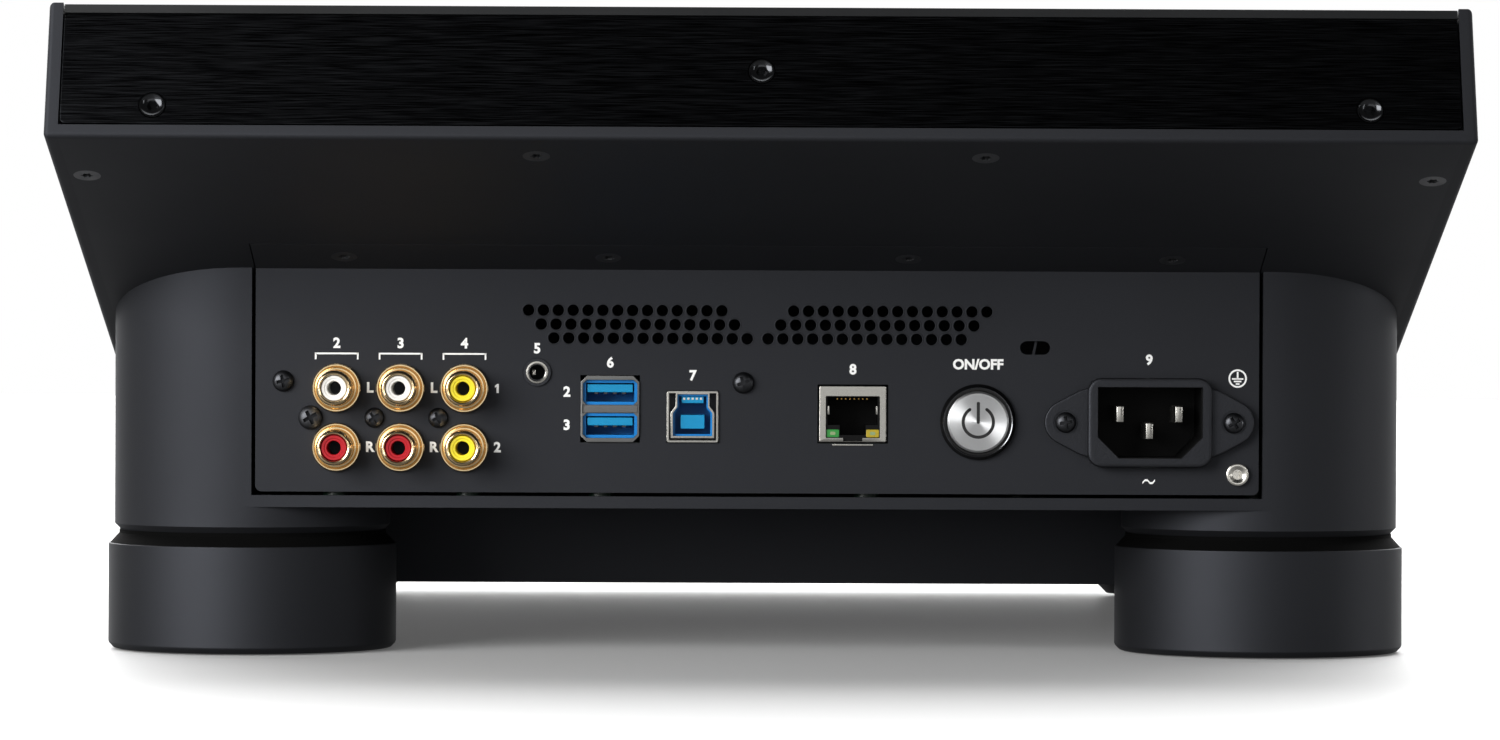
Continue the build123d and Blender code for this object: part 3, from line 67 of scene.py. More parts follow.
camera_data = bpy.data.cameras.new("camera")
camera_data.sensor_width = SENSOR_MM
camera_data.lens = SENSOR_MM * FOCAL_PIXELS / IMAGE_WIDTH
camera_data.clip_start = NEAREST
ahead = Vector((-math.sin(YAW) * math.cos(PITCH), -math.cos(YAW) * math.cos(PITCH), -math.sin(PITCH)))
right = ahead.cross(Vector((0, 0, 1))).normalized()
above = right.cross(ahead)
rolled_right = right * math.cos(ROLL) + above * math.sin(ROLL)
rolled_above = above * math.cos(ROLL) - right * math.sin(ROLL)
camera_turn = Matrix((rolled_right, rolled_above, -ahead)).transposed().to_4x4()
camera = bpy.data.objects.new("camera", camera_data)
camera.matrix_world = Matrix.Translation(CAMERA_PLACE) @ camera_turn
scene.collection.objects.link(camera)
scene.camera = camera
print("lens", round(camera_data.lens, 1), "mm")

# %% [markdown]
# ## Floor
# The player stands on a white studio floor that is lit a little from below. One plain colour would do for most
# objects, but here a white floor would light the slab's dark underside. So what the floor throws back is toned down
# to grey, and only the camera sees it as pale.

# %% Colours, nodes and materials
def linear(hex_colour):
    """Linear RGBA of an sRGB hex colour."""
    values = [int(hex_colour[i:i + 2], 16) / 255 for i in (1, 3, 5)]
    return (*[v / 12.92 if v <= 0.04045 else ((v + 0.055) / 1.055) ** 2.4 for v in values], 1.0)


def add(tree, kind, inputs=None, **settings):
    """Adds a node: settings are its properties, inputs are values for its sockets or outputs to link to them."""
    made = tree.nodes.new(kind)
    for key, value in settings.items():
        setattr(made, key, value)
    for key, value in (inputs or {}).items():
        if isinstance(value, bpy.types.NodeSocket):
            tree.links.new(value, made.inputs[key])
        else:
            made.inputs[key].default_value = value
    return made


def new_material(name, colour, **surface):
    """A material with constant values on its shader's own sockets; returns it with its tree and shader."""
    material = bpy.data.materials.new(name)
    material.use_nodes = True
    shader = material.node_tree.nodes["Principled BSDF"]
    shader.inputs["Base Color"].default_value = linear(colour)
    for socket, value in surface.items():
        shader.inputs[socket.replace("_", " ")].default_value = value
    return material, material.node_tree, shader


def two_tone(tree, shader, share, dark, light):
    """Lets a pattern move the colour between two tones."""
    tone = add(tree, "ShaderNodeMix", {0: share, 6: linear(dark), 7: linear(light)}, data_type="RGBA")
    tree.links.new(tone.outputs[2], shader.inputs["Base Color"])


print("colour and node helpers ready")

# %% Floor
FLOOR_HALF = 6.0
FLOOR_SEEN, FLOOR_THROWN = "#c6c6c6", "#575757"
floor_bm = bmesh.new()
bmesh.ops.create_grid(floor_bm, x_segments=1, y_segments=1, size=FLOOR_HALF)
floor_mesh = bpy.data.meshes.new("floor")
floor_bm.to_mesh(floor_mesh)
floor_bm.free()
floor = bpy.data.objects.new("floor", floor_mesh)
scene.collection.objects.link(floor)
# White acrylic with light under it: a plain pale ground with soft shadows
floor_paint, floor_tree, floor_shader = new_material(
    "white_acrylic_floor", FLOOR_SEEN, Roughness=0.6, Emission_Color=(1, 1, 1, 1), Emission_Strength=0.08)
floor_seen = add(floor_tree, "ShaderNodeLightPath").outputs["Is Camera Ray"]
two_tone(floor_tree, floor_shader, floor_seen, FLOOR_THROWN, FLOOR_SEEN)
floor_mesh.materials.append(floor_paint)
print("floor", 2 * FLOOR_HALF, "m wide")

# %% [markdown]
# ## Light
# A picture of a studio could light the player, but boxes can be moved one by one until each highlight sits right.
# A large soft box at the left of the camera lights the rear. It hangs low enough to reach the panel under the slab
# and high enough to leave the slab's underside dark. A low box at the right side draws a light edge on the post and
# foot there, a broad one behind the camera gives the metals something to mirror, and a narrow strip puts a glint on
# the round ones. The last box lights the player's front. The floor's light comes from a broad ceiling, which the
# world's own colour gives: bright above and beyond the player and dim towards the horizon, so round edges stay dark.
# The camera sees a white backdrop instead. Colours are shown as they are, without a film curve.

# %% Ceiling
CEILING_WAY = (0.0, -0.74, 0.67)
CEILING_EDGE, CEILING_LIGHT = (0.5, 0.92), (0.14, 6.5)
world = bpy.data.worlds.new("studio")
world.use_nodes = True
sky = world.node_tree
sky.nodes.clear()
direction = add(sky, "ShaderNodeTexCoord").outputs["Generated"]
upward = add(sky, "ShaderNodeVectorMath", {0: direction, 1: CEILING_WAY}, operation="DOT_PRODUCT")
ceiling = add(sky, "ShaderNodeMapRange", {
    "Value": upward.outputs["Value"], "From Min": CEILING_EDGE[0], "From Max": CEILING_EDGE[1],
    "To Min": CEILING_LIGHT[0], "To Max": CEILING_LIGHT[1]}, interpolation_type="SMOOTHSTEP")
glow = add(sky, "ShaderNodeBackground", {"Strength": ceiling.outputs["Result"]})
backdrop = add(sky, "ShaderNodeBackground", {"Color": (1, 1, 1, 1), "Strength": 1.0})
seen = add(sky, "ShaderNodeLightPath").outputs["Is Camera Ray"]
studio = add(sky, "ShaderNodeMixShader", {0: seen, 1: glow.outputs[0], 2: backdrop.outputs[0]})
add(sky, "ShaderNodeOutputWorld", {"Surface": studio.outputs[0]})
scene.world = world
scene.view_settings.view_transform = "Standard"

print("ceiling from", CEILING_LIGHT[0], "to", CEILING_LIGHT[1])

# %% Soft boxes
LIT_POINT = Vector((0, 0, 0.07))
SOFT_BOXES = {  # place and size in metres, power in watts
    "key_box": ((0.74, 0.86, 0.36), (0.80, 0.60), 15.5),
    "fill_box": ((-1.05, 0.12, 0.09), (0.40, 0.15), 1.2),
    "camera_box": ((0.0, 2.3, 0.40), (1.3, 0.80), 3.4),
    "glint_strip": ((-0.80, 1.00, 0.30), (0.08, 0.45), 0.7),
    "front_box": ((0.8, -2.2, 1.3), (1.6, 1.2), 10.0),
}
for name, (place, size, power) in SOFT_BOXES.items():
    lamp = bpy.data.lights.new(name, "AREA")
    lamp.shape = "RECTANGLE"
    lamp.size, lamp.size_y = size
    lamp.energy = power
    box = bpy.data.objects.new(name, lamp)
    box.location = place
    box.rotation_euler = (LIT_POINT - Vector(place)).to_track_quat("-Z", "Y").to_euler()
    box.visible_camera = False
    scene.collection.objects.link(box)
print(len(SOFT_BOXES), "soft boxes")

# %% [markdown]
# ## Places to work on
# Most pieces sit on a tilted plane: the socket panel, the deck, the display and the fascia. A matrix for each
# turns millimetres on that plane into metres in the frame, so a piece can be drawn flat and then put in place.
# Sizes are measured from the CAD nodes themselves.

# %% Planes and measures
MM = 0.001


def plane(origin, x_axis, z_axis):
    """Matrix from millimetres on a plane to metres in the frame."""
    x, z = Vector(x_axis), Vector(z_axis)
    turn = Matrix((x, z.cross(x), z)).transposed().to_4x4()
    return Matrix.Translation(origin) @ turn @ Matrix.Scale(MM, 4)


def joint(name):
    """The frame's joint of that name."""
    return next(j for j in frame["joints"] if j["name"] == name)


def corners_of(points):
    """Lowest and highest corner of the box round some points."""
    return [Vector([pick(p[i] for p in points) for i in range(3)]) for pick in (min, max)]


def points_of(node, place):
    """Vertices of a CAD node on a plane, in millimetres."""
    back = place.inverted()
    return [back @ v.co for v in frame["nodes"][node].data.vertices]


def measured(node, place):
    """Lowest and highest corner of a CAD node on a plane, in millimetres."""
    return corners_of(points_of(node, place))


def middle(low, high):
    """The point of a plane halfway between two corners."""
    return (low.x + high.x) / 2, (low.y + high.y) / 2


print("one unit of a plane is", MM, "m")

# %% The planes of this player
PANEL_T = 1.5
panel_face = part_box("rca_shells")[0].y + PANEL_T * MM
PANEL = plane((0, panel_face, 0), (-1, 0, 0), (0, 1, 0))
DECK = plane(joint("jog_turn")["pos_m"], (1, 0, 0), joint("jog_turn")["axis"])
tilt = joint("select_turn")["axis"]
DISPLAY = plane(joint("select_turn")["pos_m"], (1, 0, 0), tilt)
fascia_low, fascia_high = measured("rear_fascia", DISPLAY)
fascia_middle = DISPLAY @ Vector((0, fascia_high.y, (fascia_low.z + fascia_high.z) / 2))
FASCIA = plane((0, fascia_middle.y, fascia_middle.z), (-1, 0, 0), (0, tilt[2], -tilt[1]))
GROUND = plane((0, 0, 0), (1, 0, 0), (0, 0, 1))
print("fascia", [round(v, 1) for v in fascia_high - fascia_low], "mm")

# %% [markdown]
# ## Finishes
# Each finish starts from what the real one is and how its surface was made. Patterns read Object coordinates,
# which are metres here, so a noise with features of a given size has a scale of one over that size. Pictures could
# carry the patterns too, but noise has no seams and no pixels. Small functions let a pattern drive the colour, the
# gloss or the relief.

# %% Patterns and grain
PATCH_MM, PATCH_GLOSS = 40.0, 0.06


def noise(tree, size_mm, detail):
    """A noise with features of a size."""
    place = add(tree, "ShaderNodeTexCoord").outputs["Object"]
    scale = 1 / (size_mm * MM)
    return add(tree, "ShaderNodeTexNoise", {"Vector": place, "Scale": scale, "Detail": detail}).outputs["Fac"]


def vary_gloss(tree, shader, pattern, low, high):
    """Lets a pattern move the roughness between two values."""
    gloss = add(tree, "ShaderNodeMapRange", {"Value": pattern, "To Min": low, "To Max": high})
    tree.links.new(gloss.outputs["Result"], shader.inputs["Roughness"])


def emboss(tree, shader, pattern, strength, depth_mm):
    """Lets a pattern stand out as relief."""
    relief = add(tree, "ShaderNodeBump", {"Height": pattern, "Strength": strength, "Distance": depth_mm * MM})
    tree.links.new(relief.outputs["Normal"], shader.inputs["Normal"])


def grainy(name, light, dark, grain_mm, bump, rough, **surface):
    """A finish with a fine grain in its relief and a faint drift of colour and gloss."""
    material, tree, shader = new_material(name, light, Roughness=rough, **surface)
    grain, patch = noise(tree, grain_mm, 2.0), noise(tree, PATCH_MM, 3.0)
    blend = add(tree, "ShaderNodeMath", {0: grain, 1: patch}, operation="MULTIPLY")
    two_tone(tree, shader, blend.outputs[0], dark, light)
    vary_gloss(tree, shader, patch, rough - PATCH_GLOSS, rough + PATCH_GLOSS)
    emboss(tree, shader, grain, bump, grain_mm / 4)
    return material


print("patches of", PATCH_MM, "mm")

# %% Coated and moulded finishes
# What shows of these black finishes is their broad, faintly blue sheen, so edges that face the dark stay black
SHEEN = {"Specular_IOR_Level": 0.5, "Specular_Tint": linear("#ecf1ff")}
# Powder coat on sheet steel: satin, with the faint orange peel of baked powder
powder_coat = grainy("powder_coated_steel", "#101011", "#0a0a0b", 0.55, 0.10, 0.67, **SHEEN)
# Charcoal ABS, moulded in a spark-eroded tool that leaves a fine matte texture
moulded_abs = grainy("textured_charcoal_abs", "#0e0e0f", "#09090a", 0.45, 0.12, 0.64, **SHEEN)
# The feet are the same plastic from a smoother tool, with a clearer highlight down each drum
foot_abs = grainy("satin_charcoal_abs", "#0b0b0c", "#070708", 0.40, 0.06, 0.58, **SHEEN)
# Socket mouldings: black polyamide, a little coarser, so its sheen is broken up
socket_nylon = grainy("black_polyamide", "#171719", "#0e0e0f", 0.60, 0.35, 0.50, **SHEEN)
# Black anodised sheet on the top, blasted before it was dyed: an even, tighter gleam
black_anodised = grainy("blasted_black_anodised", "#1c1d1f", "#141516", 0.35, 0.08, 0.38)
# Rubber under the feet: dull and coarse
black_rubber = grainy("black_rubber", "#151515", "#0d0d0d", 0.60, 0.20, 0.75)
# Painted shade: a near black, almost unlit ring over each rear foot's chamfer shows the gap to the post as a black
# band
painted_gap_shade_black = grainy("black_ring_painted_gap_shade", "#070707", "#040404", 0.80, 0.30, 0.9, Specular_IOR_Level=0.06)
# Soft-touch coat on knobs and fader cap: dry and velvety
soft_touch = grainy("soft_touch_rubber", "#222325", "#1a1b1c", 0.40, 0.10, 0.66)
# Silicone pads: the lightest grey on the deck, with a matte skin
pad_silicone = grainy("grey_silicone", "#5d5f63", "#505256", 0.50, 0.12, 0.55)
# Small keys: satin, a step lighter than the plate round them
key_abs = grainy("satin_key_abs", "#34363a", "#2b2d30", 0.40, 0.08, 0.42)
# Solder mask on the boards: dark green with a low gloss
board_mask = grainy("dark_green_solder_mask", "#0f3020", "#0a2216", 1.20, 0.10, 0.35)
# Nearly black and dull: the network socket's own black carrier, and painted shade on the walls of the mains inlet's
# deep cavity, so that contacts stand out
carrier_black_and_cavity_shade = grainy("black_carrier_and_painted_cavity_shade", "#0b0b0c", "#060606", 0.50, 0.10, 0.6, Specular_IOR_Level=0.15)
# Case of the display under its glass: plain matte black
screen_case = grainy("matte_black_abs", "#1a1a1b", "#121213", 0.45, 0.10, 0.6)
print("grainy finishes made")

# %% [markdown]
# Brushed metal is drawn by stretching a noise: hardly any change along the strokes, a lot across them. A turned
# or spun part has its strokes in rings, so there the noise is read by the distance from the middle. Each stroke could
# be modelled, but they are finer than a picture's pixels, so tone, gloss and relief are enough.

# %% Brushed, plated and turned metal
STROKE_LONG, STROKE_GLOSS, RIDGE_LOW, RIDGE_HIGH = 10.0, 0.12, 0.38, 0.68
CLOUD_MM, CLOUD_GLOSS, RING_GLOSS = 3.0, (0.7, 1.3), 0.08
Y_AXIS, Z_AXIS = 1, 2


def brushed(name, light, dark, stroke_mm, detail, rough, bump):
    """Metal with straight strokes along X, light on their ridges and dark between."""
    material, tree, shader = new_material(name, light, Metallic=1.0, Roughness=rough)
    place = add(tree, "ShaderNodeTexCoord").outputs["Object"]
    scale = [1 / (size * MM) for size in (STROKE_LONG, stroke_mm, stroke_mm)]
    stretched = add(tree, "ShaderNodeMapping", {"Vector": place, "Scale": scale}).outputs["Vector"]
    strokes = add(tree, "ShaderNodeTexNoise", {"Vector": stretched, "Scale": 1.0, "Detail": detail}).outputs["Fac"]
    ridge = add(tree, "ShaderNodeMapRange", {"Value": strokes, "From Min": RIDGE_LOW, "From Max": RIDGE_HIGH})
    two_tone(tree, shader, ridge.outputs["Result"], dark, light)
    vary_gloss(tree, shader, strokes, rough - STROKE_GLOSS, rough + STROKE_GLOSS)
    emboss(tree, shader, strokes, bump, stroke_mm / 3)
    return material


def plated(name, colour, rough):
    """Plated metal: nearly smooth, with a slow drift in its gloss."""
    material, tree, shader = new_material(name, colour, Metallic=1.0, Roughness=rough)
    vary_gloss(tree, shader, noise(tree, CLOUD_MM, 3.0), *[rough * share for share in CLOUD_GLOSS])
    return material


def turned_metal(name, colour, centre, normal_axis, ring_mm, rough, bump, spread):
    """Metal with rings about a centre, as a lathe leaves them, which spread its highlights into wedges."""
    material, tree, shader = new_material(name, colour, Metallic=1.0, Roughness=rough, Anisotropic=spread)
    place = add(tree, "ShaderNodeTexCoord").outputs["Object"]
    flat = [0.0 if i == normal_axis else 1.0 for i in range(3)]
    offset = [-c * f for c, f in zip(centre, flat)]
    outward = add(tree, "ShaderNodeMapping", {"Vector": place, "Location": offset, "Scale": flat}).outputs["Vector"]
    radius = add(tree, "ShaderNodeVectorMath", {0: outward}, operation="LENGTH").outputs["Value"]
    rings = add(tree, "ShaderNodeTexNoise", {"W": radius, "Scale": 1 / (ring_mm * MM), "Detail": 2.0},
                noise_dimensions="1D").outputs["Fac"]
    emboss(tree, shader, rings, bump, ring_mm / 3)
    vary_gloss(tree, shader, rings, rough - RING_GLOSS, rough + RING_GLOSS)
    tree.links.new(outward, shader.inputs["Tangent"])
    return material


print("strokes", STROKE_LONG, "mm long")

# %% Metals
# Black anodised plate with long horizontal strokes; drawn a little coarser than real so that it shows
brushed_black = brushed("brushed_black_anodised", "#1f2022", "#060607", 0.20, 3.0, 0.34, 0.40)
# Gold on turned brass: pale yellow, with bright circles on the rolled lips
gold_plate = plated("gold_plated_brass", "#e8cea2", 0.17)
# Gold of the contacts: a deeper yellow than the sleeves
contact_gold = plated("gold_contacts", "#d8b062", 0.2)
# Nickel, from the clear one of screws and springs to the dull one of folded shells
bright_nickel = plated("bright_nickel_screw", "#e4e1d9", 0.24)
nickel_plate = plated("nickel_plated_steel", "#b2b0aa", 0.26)
dull_nickel = plated("dull_nickel_plate", "#6f6f6e", 0.42)
# Dark steels: blackened domes with a soft highlight, a greyer large screw, dry phosphated heads under the slab, and
# polished dishes that mirror the light
black_steel = plated("blackened_steel", "#424346", 0.40)
worn_steel = plated("half_blackened_steel", "#4a4b4e", 0.46)
dark_screw = plated("dark_phosphated_steel", "#626366", 0.46)
polished_black = plated("polished_black_steel", "#3a3b3d", 0.16)
# Chrome ring round the switch: a painted highlight on the bezel's rounded edge, which also mirrors the lights as real
# metal
highlight_chrome_ring = plated("highlight_chrome_ring", "#6b6c6f", 0.18)
# Ground steel of bearing and shaft: fine lines on a mid grey
ground_steel = brushed("ground_steel", "#9a9a98", "#868684", 0.30, 2.0, 0.30, 0.15)
# Turned aluminium: a dark wheel, a near black touch plate with rings like a record's, and a silver button
jog_centre = joint("jog_turn")["pos_m"]
jog_metal = turned_metal("dark_turned_aluminium", "#45464a", jog_centre, Z_AXIS, 0.5, 0.34, 0.15, 0.7)
jog_touch = turned_metal("black_ringed_aluminium", "#2c2d30", jog_centre, Z_AXIS, 0.9, 0.36, 0.30, 0.8)
power_low, power_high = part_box("power_button")
power_centre = (power_low + power_high) / 2
spun_metal = turned_metal("spun_aluminium", "#d4d5d6", power_centre, Y_AXIS, 0.25, 0.36, 0.08, 0.9)
print("metal finishes made")

# %% [markdown]
# Clear and glossy finishes need little pattern, but no real surface is perfectly even: a trace of haze in the
# gloss is enough.

# %% Glossy finishes
HAZE_MM, HAZE_GLOSS = 12.0, (0.7, 1.4)


def glossy(name, colour, rough, **surface):
    """Moulded gloss plastic or glass with a trace of haze."""
    material, tree, shader = new_material(name, colour, Roughness=rough, **surface)
    vary_gloss(tree, shader, noise(tree, HAZE_MM, 4.0), *[rough * share for share in HAZE_GLOSS])
    return material


# Touch glass is a black mirror, and the display under it, which is off, a slightly blue one
screen_glass = glossy("black_screen_glass", "#050506", 0.06, IOR=1.52)
dark_display = glossy("dark_liquid_crystal", "#12151b", 0.08, IOR=1.52)
# Shiny black round the power button, and smoked grey on the two large keys
gloss_black = glossy("gloss_black_abs", "#09090a", 0.20, Specular_IOR_Level=0.25)
key_acrylic = glossy("smoked_acrylic_key", "#26272a", 0.22)
# Insulators: milky white, deep red and strong yellow inside the gold
nylon_white = glossy("white_nylon", "#eceae4", 0.32)
nylon_red = glossy("red_nylon", "#ac1822", 0.36, Specular_IOR_Level=0.3)
nylon_yellow = glossy("yellow_nylon", "#f0dc2c", 0.32)
# Contact blocks: a strong blue, with a tongue that is a little greener
blue_pbt = glossy("blue_contact_block", "#0d7bc8", 0.40, Specular_IOR_Level=0.25)
light_blue_pbt = glossy("light_blue_tongue", "#0f8cbe", 0.45, Specular_IOR_Level=0.25)
# Inks: crisp white on panel and keys, black in the engraved sign, and grey under the wheel's glass
white_ink = glossy("white_screen_ink", "#fafaf8", 0.55)
dark_ink = glossy("black_engraving_ink", "#101011", 0.5)
grey_ink = glossy("grey_screen_ink", "#8a8c90", 0.55)
# Lenses: unlit colours, a pale spot in the middle of each network light, and frosted bars behind the pads
green_lens = glossy("green_light_lens", "#2b8a38", 0.3)
yellow_lens = glossy("yellow_light_lens", "#b09a1c", 0.3)
amber_lens = glossy("amber_acrylic_ring", "#d9861c", 0.3)
lens_core = glossy("bright_lens_middle", "#8aa070", 0.4)
clear_lens = glossy("frosted_acrylic_lens", "#c9ccd1", 0.4)
print("gloss finishes made")

# %% [markdown]
# ## Dressing the CAD nodes
# A CAD node arrives as loose triangles, so round walls show their flats. Small node trees on the mesh can weld it
# and smooth every edge but the sharp ones, without touching the vertices that the frame guards.

# %% Smooth shading for the CAD nodes
SHARP_DEGREES = 32.0
WELD_MM = 0.002
smoother = bpy.data.node_groups.new("weld_and_smooth", "GeometryNodeTree")
smoother.interface.new_socket("Geometry", in_out="INPUT", socket_type="NodeSocketGeometry")
smoother.interface.new_socket("Geometry", in_out="OUTPUT", socket_type="NodeSocketGeometry")
mesh_in = add(smoother, "NodeGroupInput").outputs[0]
welded = add(smoother, "GeometryNodeMergeByDistance", {"Geometry": mesh_in, "Distance": WELD_MM * MM})
round_faces = add(smoother, "GeometryNodeSetShadeSmooth", {"Geometry": welded.outputs[0], "Shade Smooth": True})
edge_angle = add(smoother, "GeometryNodeInputMeshEdgeAngle")
is_round = add(smoother, "FunctionNodeCompare", {0: edge_angle.outputs[0], 1: math.radians(SHARP_DEGREES)},
               operation="LESS_THAN")
sharp_edges = add(smoother, "GeometryNodeSetShadeSmooth",
                  {"Geometry": round_faces.outputs[0], "Shade Smooth": is_round.outputs[0]}, domain="EDGE")
add(smoother, "NodeGroupOutput", {0: sharp_edges.outputs[0]})

print("edges under", SHARP_DEGREES, "degrees are round")

# %% Finishes on the CAD nodes
FINISH_OF_SLOT = {
    "charcoal_coat": powder_coat, "charcoal_moulding": moulded_abs, "black_deck_plate": black_anodised,
    "brushed_black": brushed_black, "screen_glass": screen_glass, "screen_body": screen_case,
    "circuit_board": board_mask, "foot_moulding": foot_abs, "foot_rubber": black_rubber, "gold_plate": gold_plate,
    "socket_white": nylon_white, "socket_black": socket_nylon, "socket_steel": nickel_plate,
    "socket_blue": blue_pbt, "switch_black": gloss_black, "button_metal": spun_metal, "black_screw": black_steel,
    "bright_screw": bright_nickel, "jog_metal": jog_metal, "jog_touch": jog_touch, "bearing_steel": ground_steel,
    "knob_rubber": soft_touch, "pad_rubber": pad_silicone, "transport_key": key_acrylic, "small_key": key_abs,
}
FINISH_OF_NODE = {"underside_screws": dark_screw, "network_core": carrier_black_and_cavity_shade}
for entry in frame["record"]["subparts"]:
    node = frame["nodes"][entry["node"]]
    node.data.materials.clear()
    node.data.materials.append(FINISH_OF_NODE.get(entry["node"], FINISH_OF_SLOT[entry["material_slot"]]))
    node.modifiers.new("weld_and_smooth", "NODES").node_group = smoother
print(len(FINISH_OF_SLOT), "finishes on", len(frame["nodes"]), "nodes")

# %% [markdown]
# ## Tools for new pieces
# Most of the fine pieces are either turned or cut from a flat outline. A turned piece is a half profile that is
# spun about the plane's normal. A flat one is an outline whose corners are bevelled before it is raised. Both are
# drawn in millimetres on a plane, and the plane's matrix then puts them in place. Broken edges are shaded smooth, and
# a Weighted Normal modifier keeps that from bending the light on the large faces beside them.

# %% Turned and raised shapes
def turn(bm, profile, centre, steps=48):
    """Adds a turned shape: (radius, height) points, a closed loop where the last point is the first."""
    closed = profile[0] == profile[-1]
    outline = profile[:-1] if closed else profile
    points = [bm.verts.new((centre[0] + radius, centre[1], height)) for radius, height in outline]
    ends = points[1:] + points[:1] if closed else points[1:]
    edges = [bm.edges.new(pair) for pair in zip(points, ends)]
    bmesh.ops.spin(bm, geom=points + edges, cent=(*centre, 0), axis=(0, 0, 1), angle=math.tau, steps=steps,
                   use_merge=True)


def rectangle(x, y, width, height):
    """Corners of an upright rectangle about a point."""
    return [(x + i * width / 2, y + j * height / 2) for i, j in ((-1, -1), (1, -1), (1, 1), (-1, 1))]


def about(x, y, points, growth=1.0):
    """Points drawn about the origin, moved to another point and grown."""
    return [(x + u * growth, y + v * growth) for u, v in points]


def raise_outline(bm, outline, bottom, top, corner=0.0, segments=4, edge=0.0):
    """Adds a flat block: the outline's corners are rounded, it is raised, and its top edge is broken."""
    old_faces, old_edges = set(bm.faces), set(bm.edges)
    corners = [bm.verts.new((x, y, bottom)) for x, y in outline]
    bm.faces.new(corners)
    if corner:
        bmesh.ops.bevel(bm, geom=corners, offset=corner, segments=segments, affect="VERTICES", profile=0.5,
                        material=-1)
    made = bmesh.ops.extrude_face_region(bm, geom=[f for f in bm.faces if f not in old_faces])["geom"]
    lifted = {v for v in made if isinstance(v, bmesh.types.BMVert)}
    bmesh.ops.translate(bm, vec=(0, 0, top - bottom), verts=list(lifted))
    if edge:
        rim = [e for e in bm.edges if e not in old_edges and lifted.issuperset(e.verts)]
        bmesh.ops.bevel(bm, geom=rim, offset=edge, segments=2, affect="EDGES", profile=0.5, material=-1)


def turned(*shape):
    """A new turned shape."""
    bm = bmesh.new()
    turn(bm, *shape)
    return bm


def raised(*shape, **edges):
    """A new flat block."""
    bm = bmesh.new()
    raise_outline(bm, *shape, **edges)
    return bm


print("turned and raised shapes ready")

# %% Cutting, joining and placing
MERGE_MM, SMOOTH_DEGREES = 0.0005, 35.0


def loose_object(bm):
    """An object for a bmesh, which is freed."""
    bmesh.ops.remove_doubles(bm, verts=bm.verts, dist=MERGE_MM)
    bmesh.ops.recalc_face_normals(bm, faces=bm.faces)
    mesh = bpy.data.meshes.new("loose")
    bm.to_mesh(mesh)
    bm.free()
    made = bpy.data.objects.new("loose", mesh)
    scene.collection.objects.link(made)
    return made


def cut(stock_bm, *tools):
    """What is left of one shape when others are taken out of it in turn, by a Boolean modifier."""
    for tool_bm in tools:
        stock, tool = loose_object(stock_bm), loose_object(tool_bm)
        stock.modifiers.new("knife", "BOOLEAN").object = tool
        bpy.context.view_layer.update()
        stock_bm = bmesh.new()
        stock_bm.from_object(stock, bpy.context.evaluated_depsgraph_get())
        for spent in (stock.data, tool.data):
            bpy.data.meshes.remove(spent)
    return stock_bm


def join(bm, other):
    """Adds one shape to another as it is."""
    added = loose_object(other)
    bm.from_mesh(added.data)
    bpy.data.meshes.remove(added.data)


def finish_piece(name, bm, place, material, body="chassis", stands_for=()):
    """Puts a drawn shape in place as a piece of the frame, on its body and with its finish."""
    bmesh.ops.remove_doubles(bm, verts=bm.verts, dist=MERGE_MM)
    bmesh.ops.transform(bm, matrix=place, verts=bm.verts)
    bmesh.ops.recalc_face_normals(bm, faces=bm.faces)
    mesh = bpy.data.meshes.new(name)
    bm.to_mesh(mesh)
    bm.free()
    mesh.shade_smooth()
    mesh.set_sharp_from_angle(angle=math.radians(SMOOTH_DEGREES))
    mesh.materials.append(material)
    piece = bpy.data.objects.new(name, mesh)
    scene.collection.objects.link(piece)
    piece.modifiers.new("flat_faces", "WEIGHTED_NORMAL").keep_sharp = True
    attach(piece, body)
    if stands_for:
        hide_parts(*stands_for)


print("tools ready")

# %% [markdown]
# ## Rear feet
# Each foot is turned: a plain drum whose lower edge is broken, with a conical near black ring on top over
# the chamfer to the post. The ring is painted shade that shows the gap as a black band. Each is one profile that is
# spun in many steps, because the feet's outline is what stands against the pale floor.

# %% Drums of the rear feet and rings of painted shade on them
FOOT_R, FOOT_STEPS = 35.0, 128
DRUM = [
    (0.0, 2.2), (28.1, 2.2), (28.1, 0.3), (33.4, 0.3), (33.9, 0.45), (34.8, 1.4), (35.0, 1.9), (35.0, 25.5),
    (34.95, 25.7), (34.8, 25.8), (0.0, 25.8),
]
GAP_SHADE_COLLAR = [(0.0, 25.8), (34.6, 25.8), (32.4, 28.2), (32.4, 29.0), (0.0, 29.0)]
foot_low, foot_high = measured("rear_feet", GROUND)
foot_y = middle(foot_low, foot_high)[1]
drums, shade_collars = bmesh.new(), bmesh.new()
for x in (foot_low.x + FOOT_R, foot_high.x - FOOT_R):
    turn(drums, DRUM, (x, foot_y), FOOT_STEPS)
    turn(shade_collars, GAP_SHADE_COLLAR, (x, foot_y), FOOT_STEPS)
finish_piece("foot_drums", drums, GROUND, foot_abs, stands_for=["rear_feet"])
# The rings are painted shade: they show the gap between each foot and its post as black
finish_piece("foot_gap_shade_rings", shade_collars, GROUND, painted_gap_shade_black, stands_for=["rear_feet"])
print("rear feet", round(foot_high.x - foot_low.x, 1), "mm over both")

# %% [markdown]
# ## Audio sockets
# Each socket is a gold-plated sleeve, turned from brass, with a rolled ring where it meets the panel. The rounded
# lips catch the light as bright circles, so the profile has real curves and not just steps. The insulators inside
# are white and red for the two analogue pairs and yellow for the digital outputs.

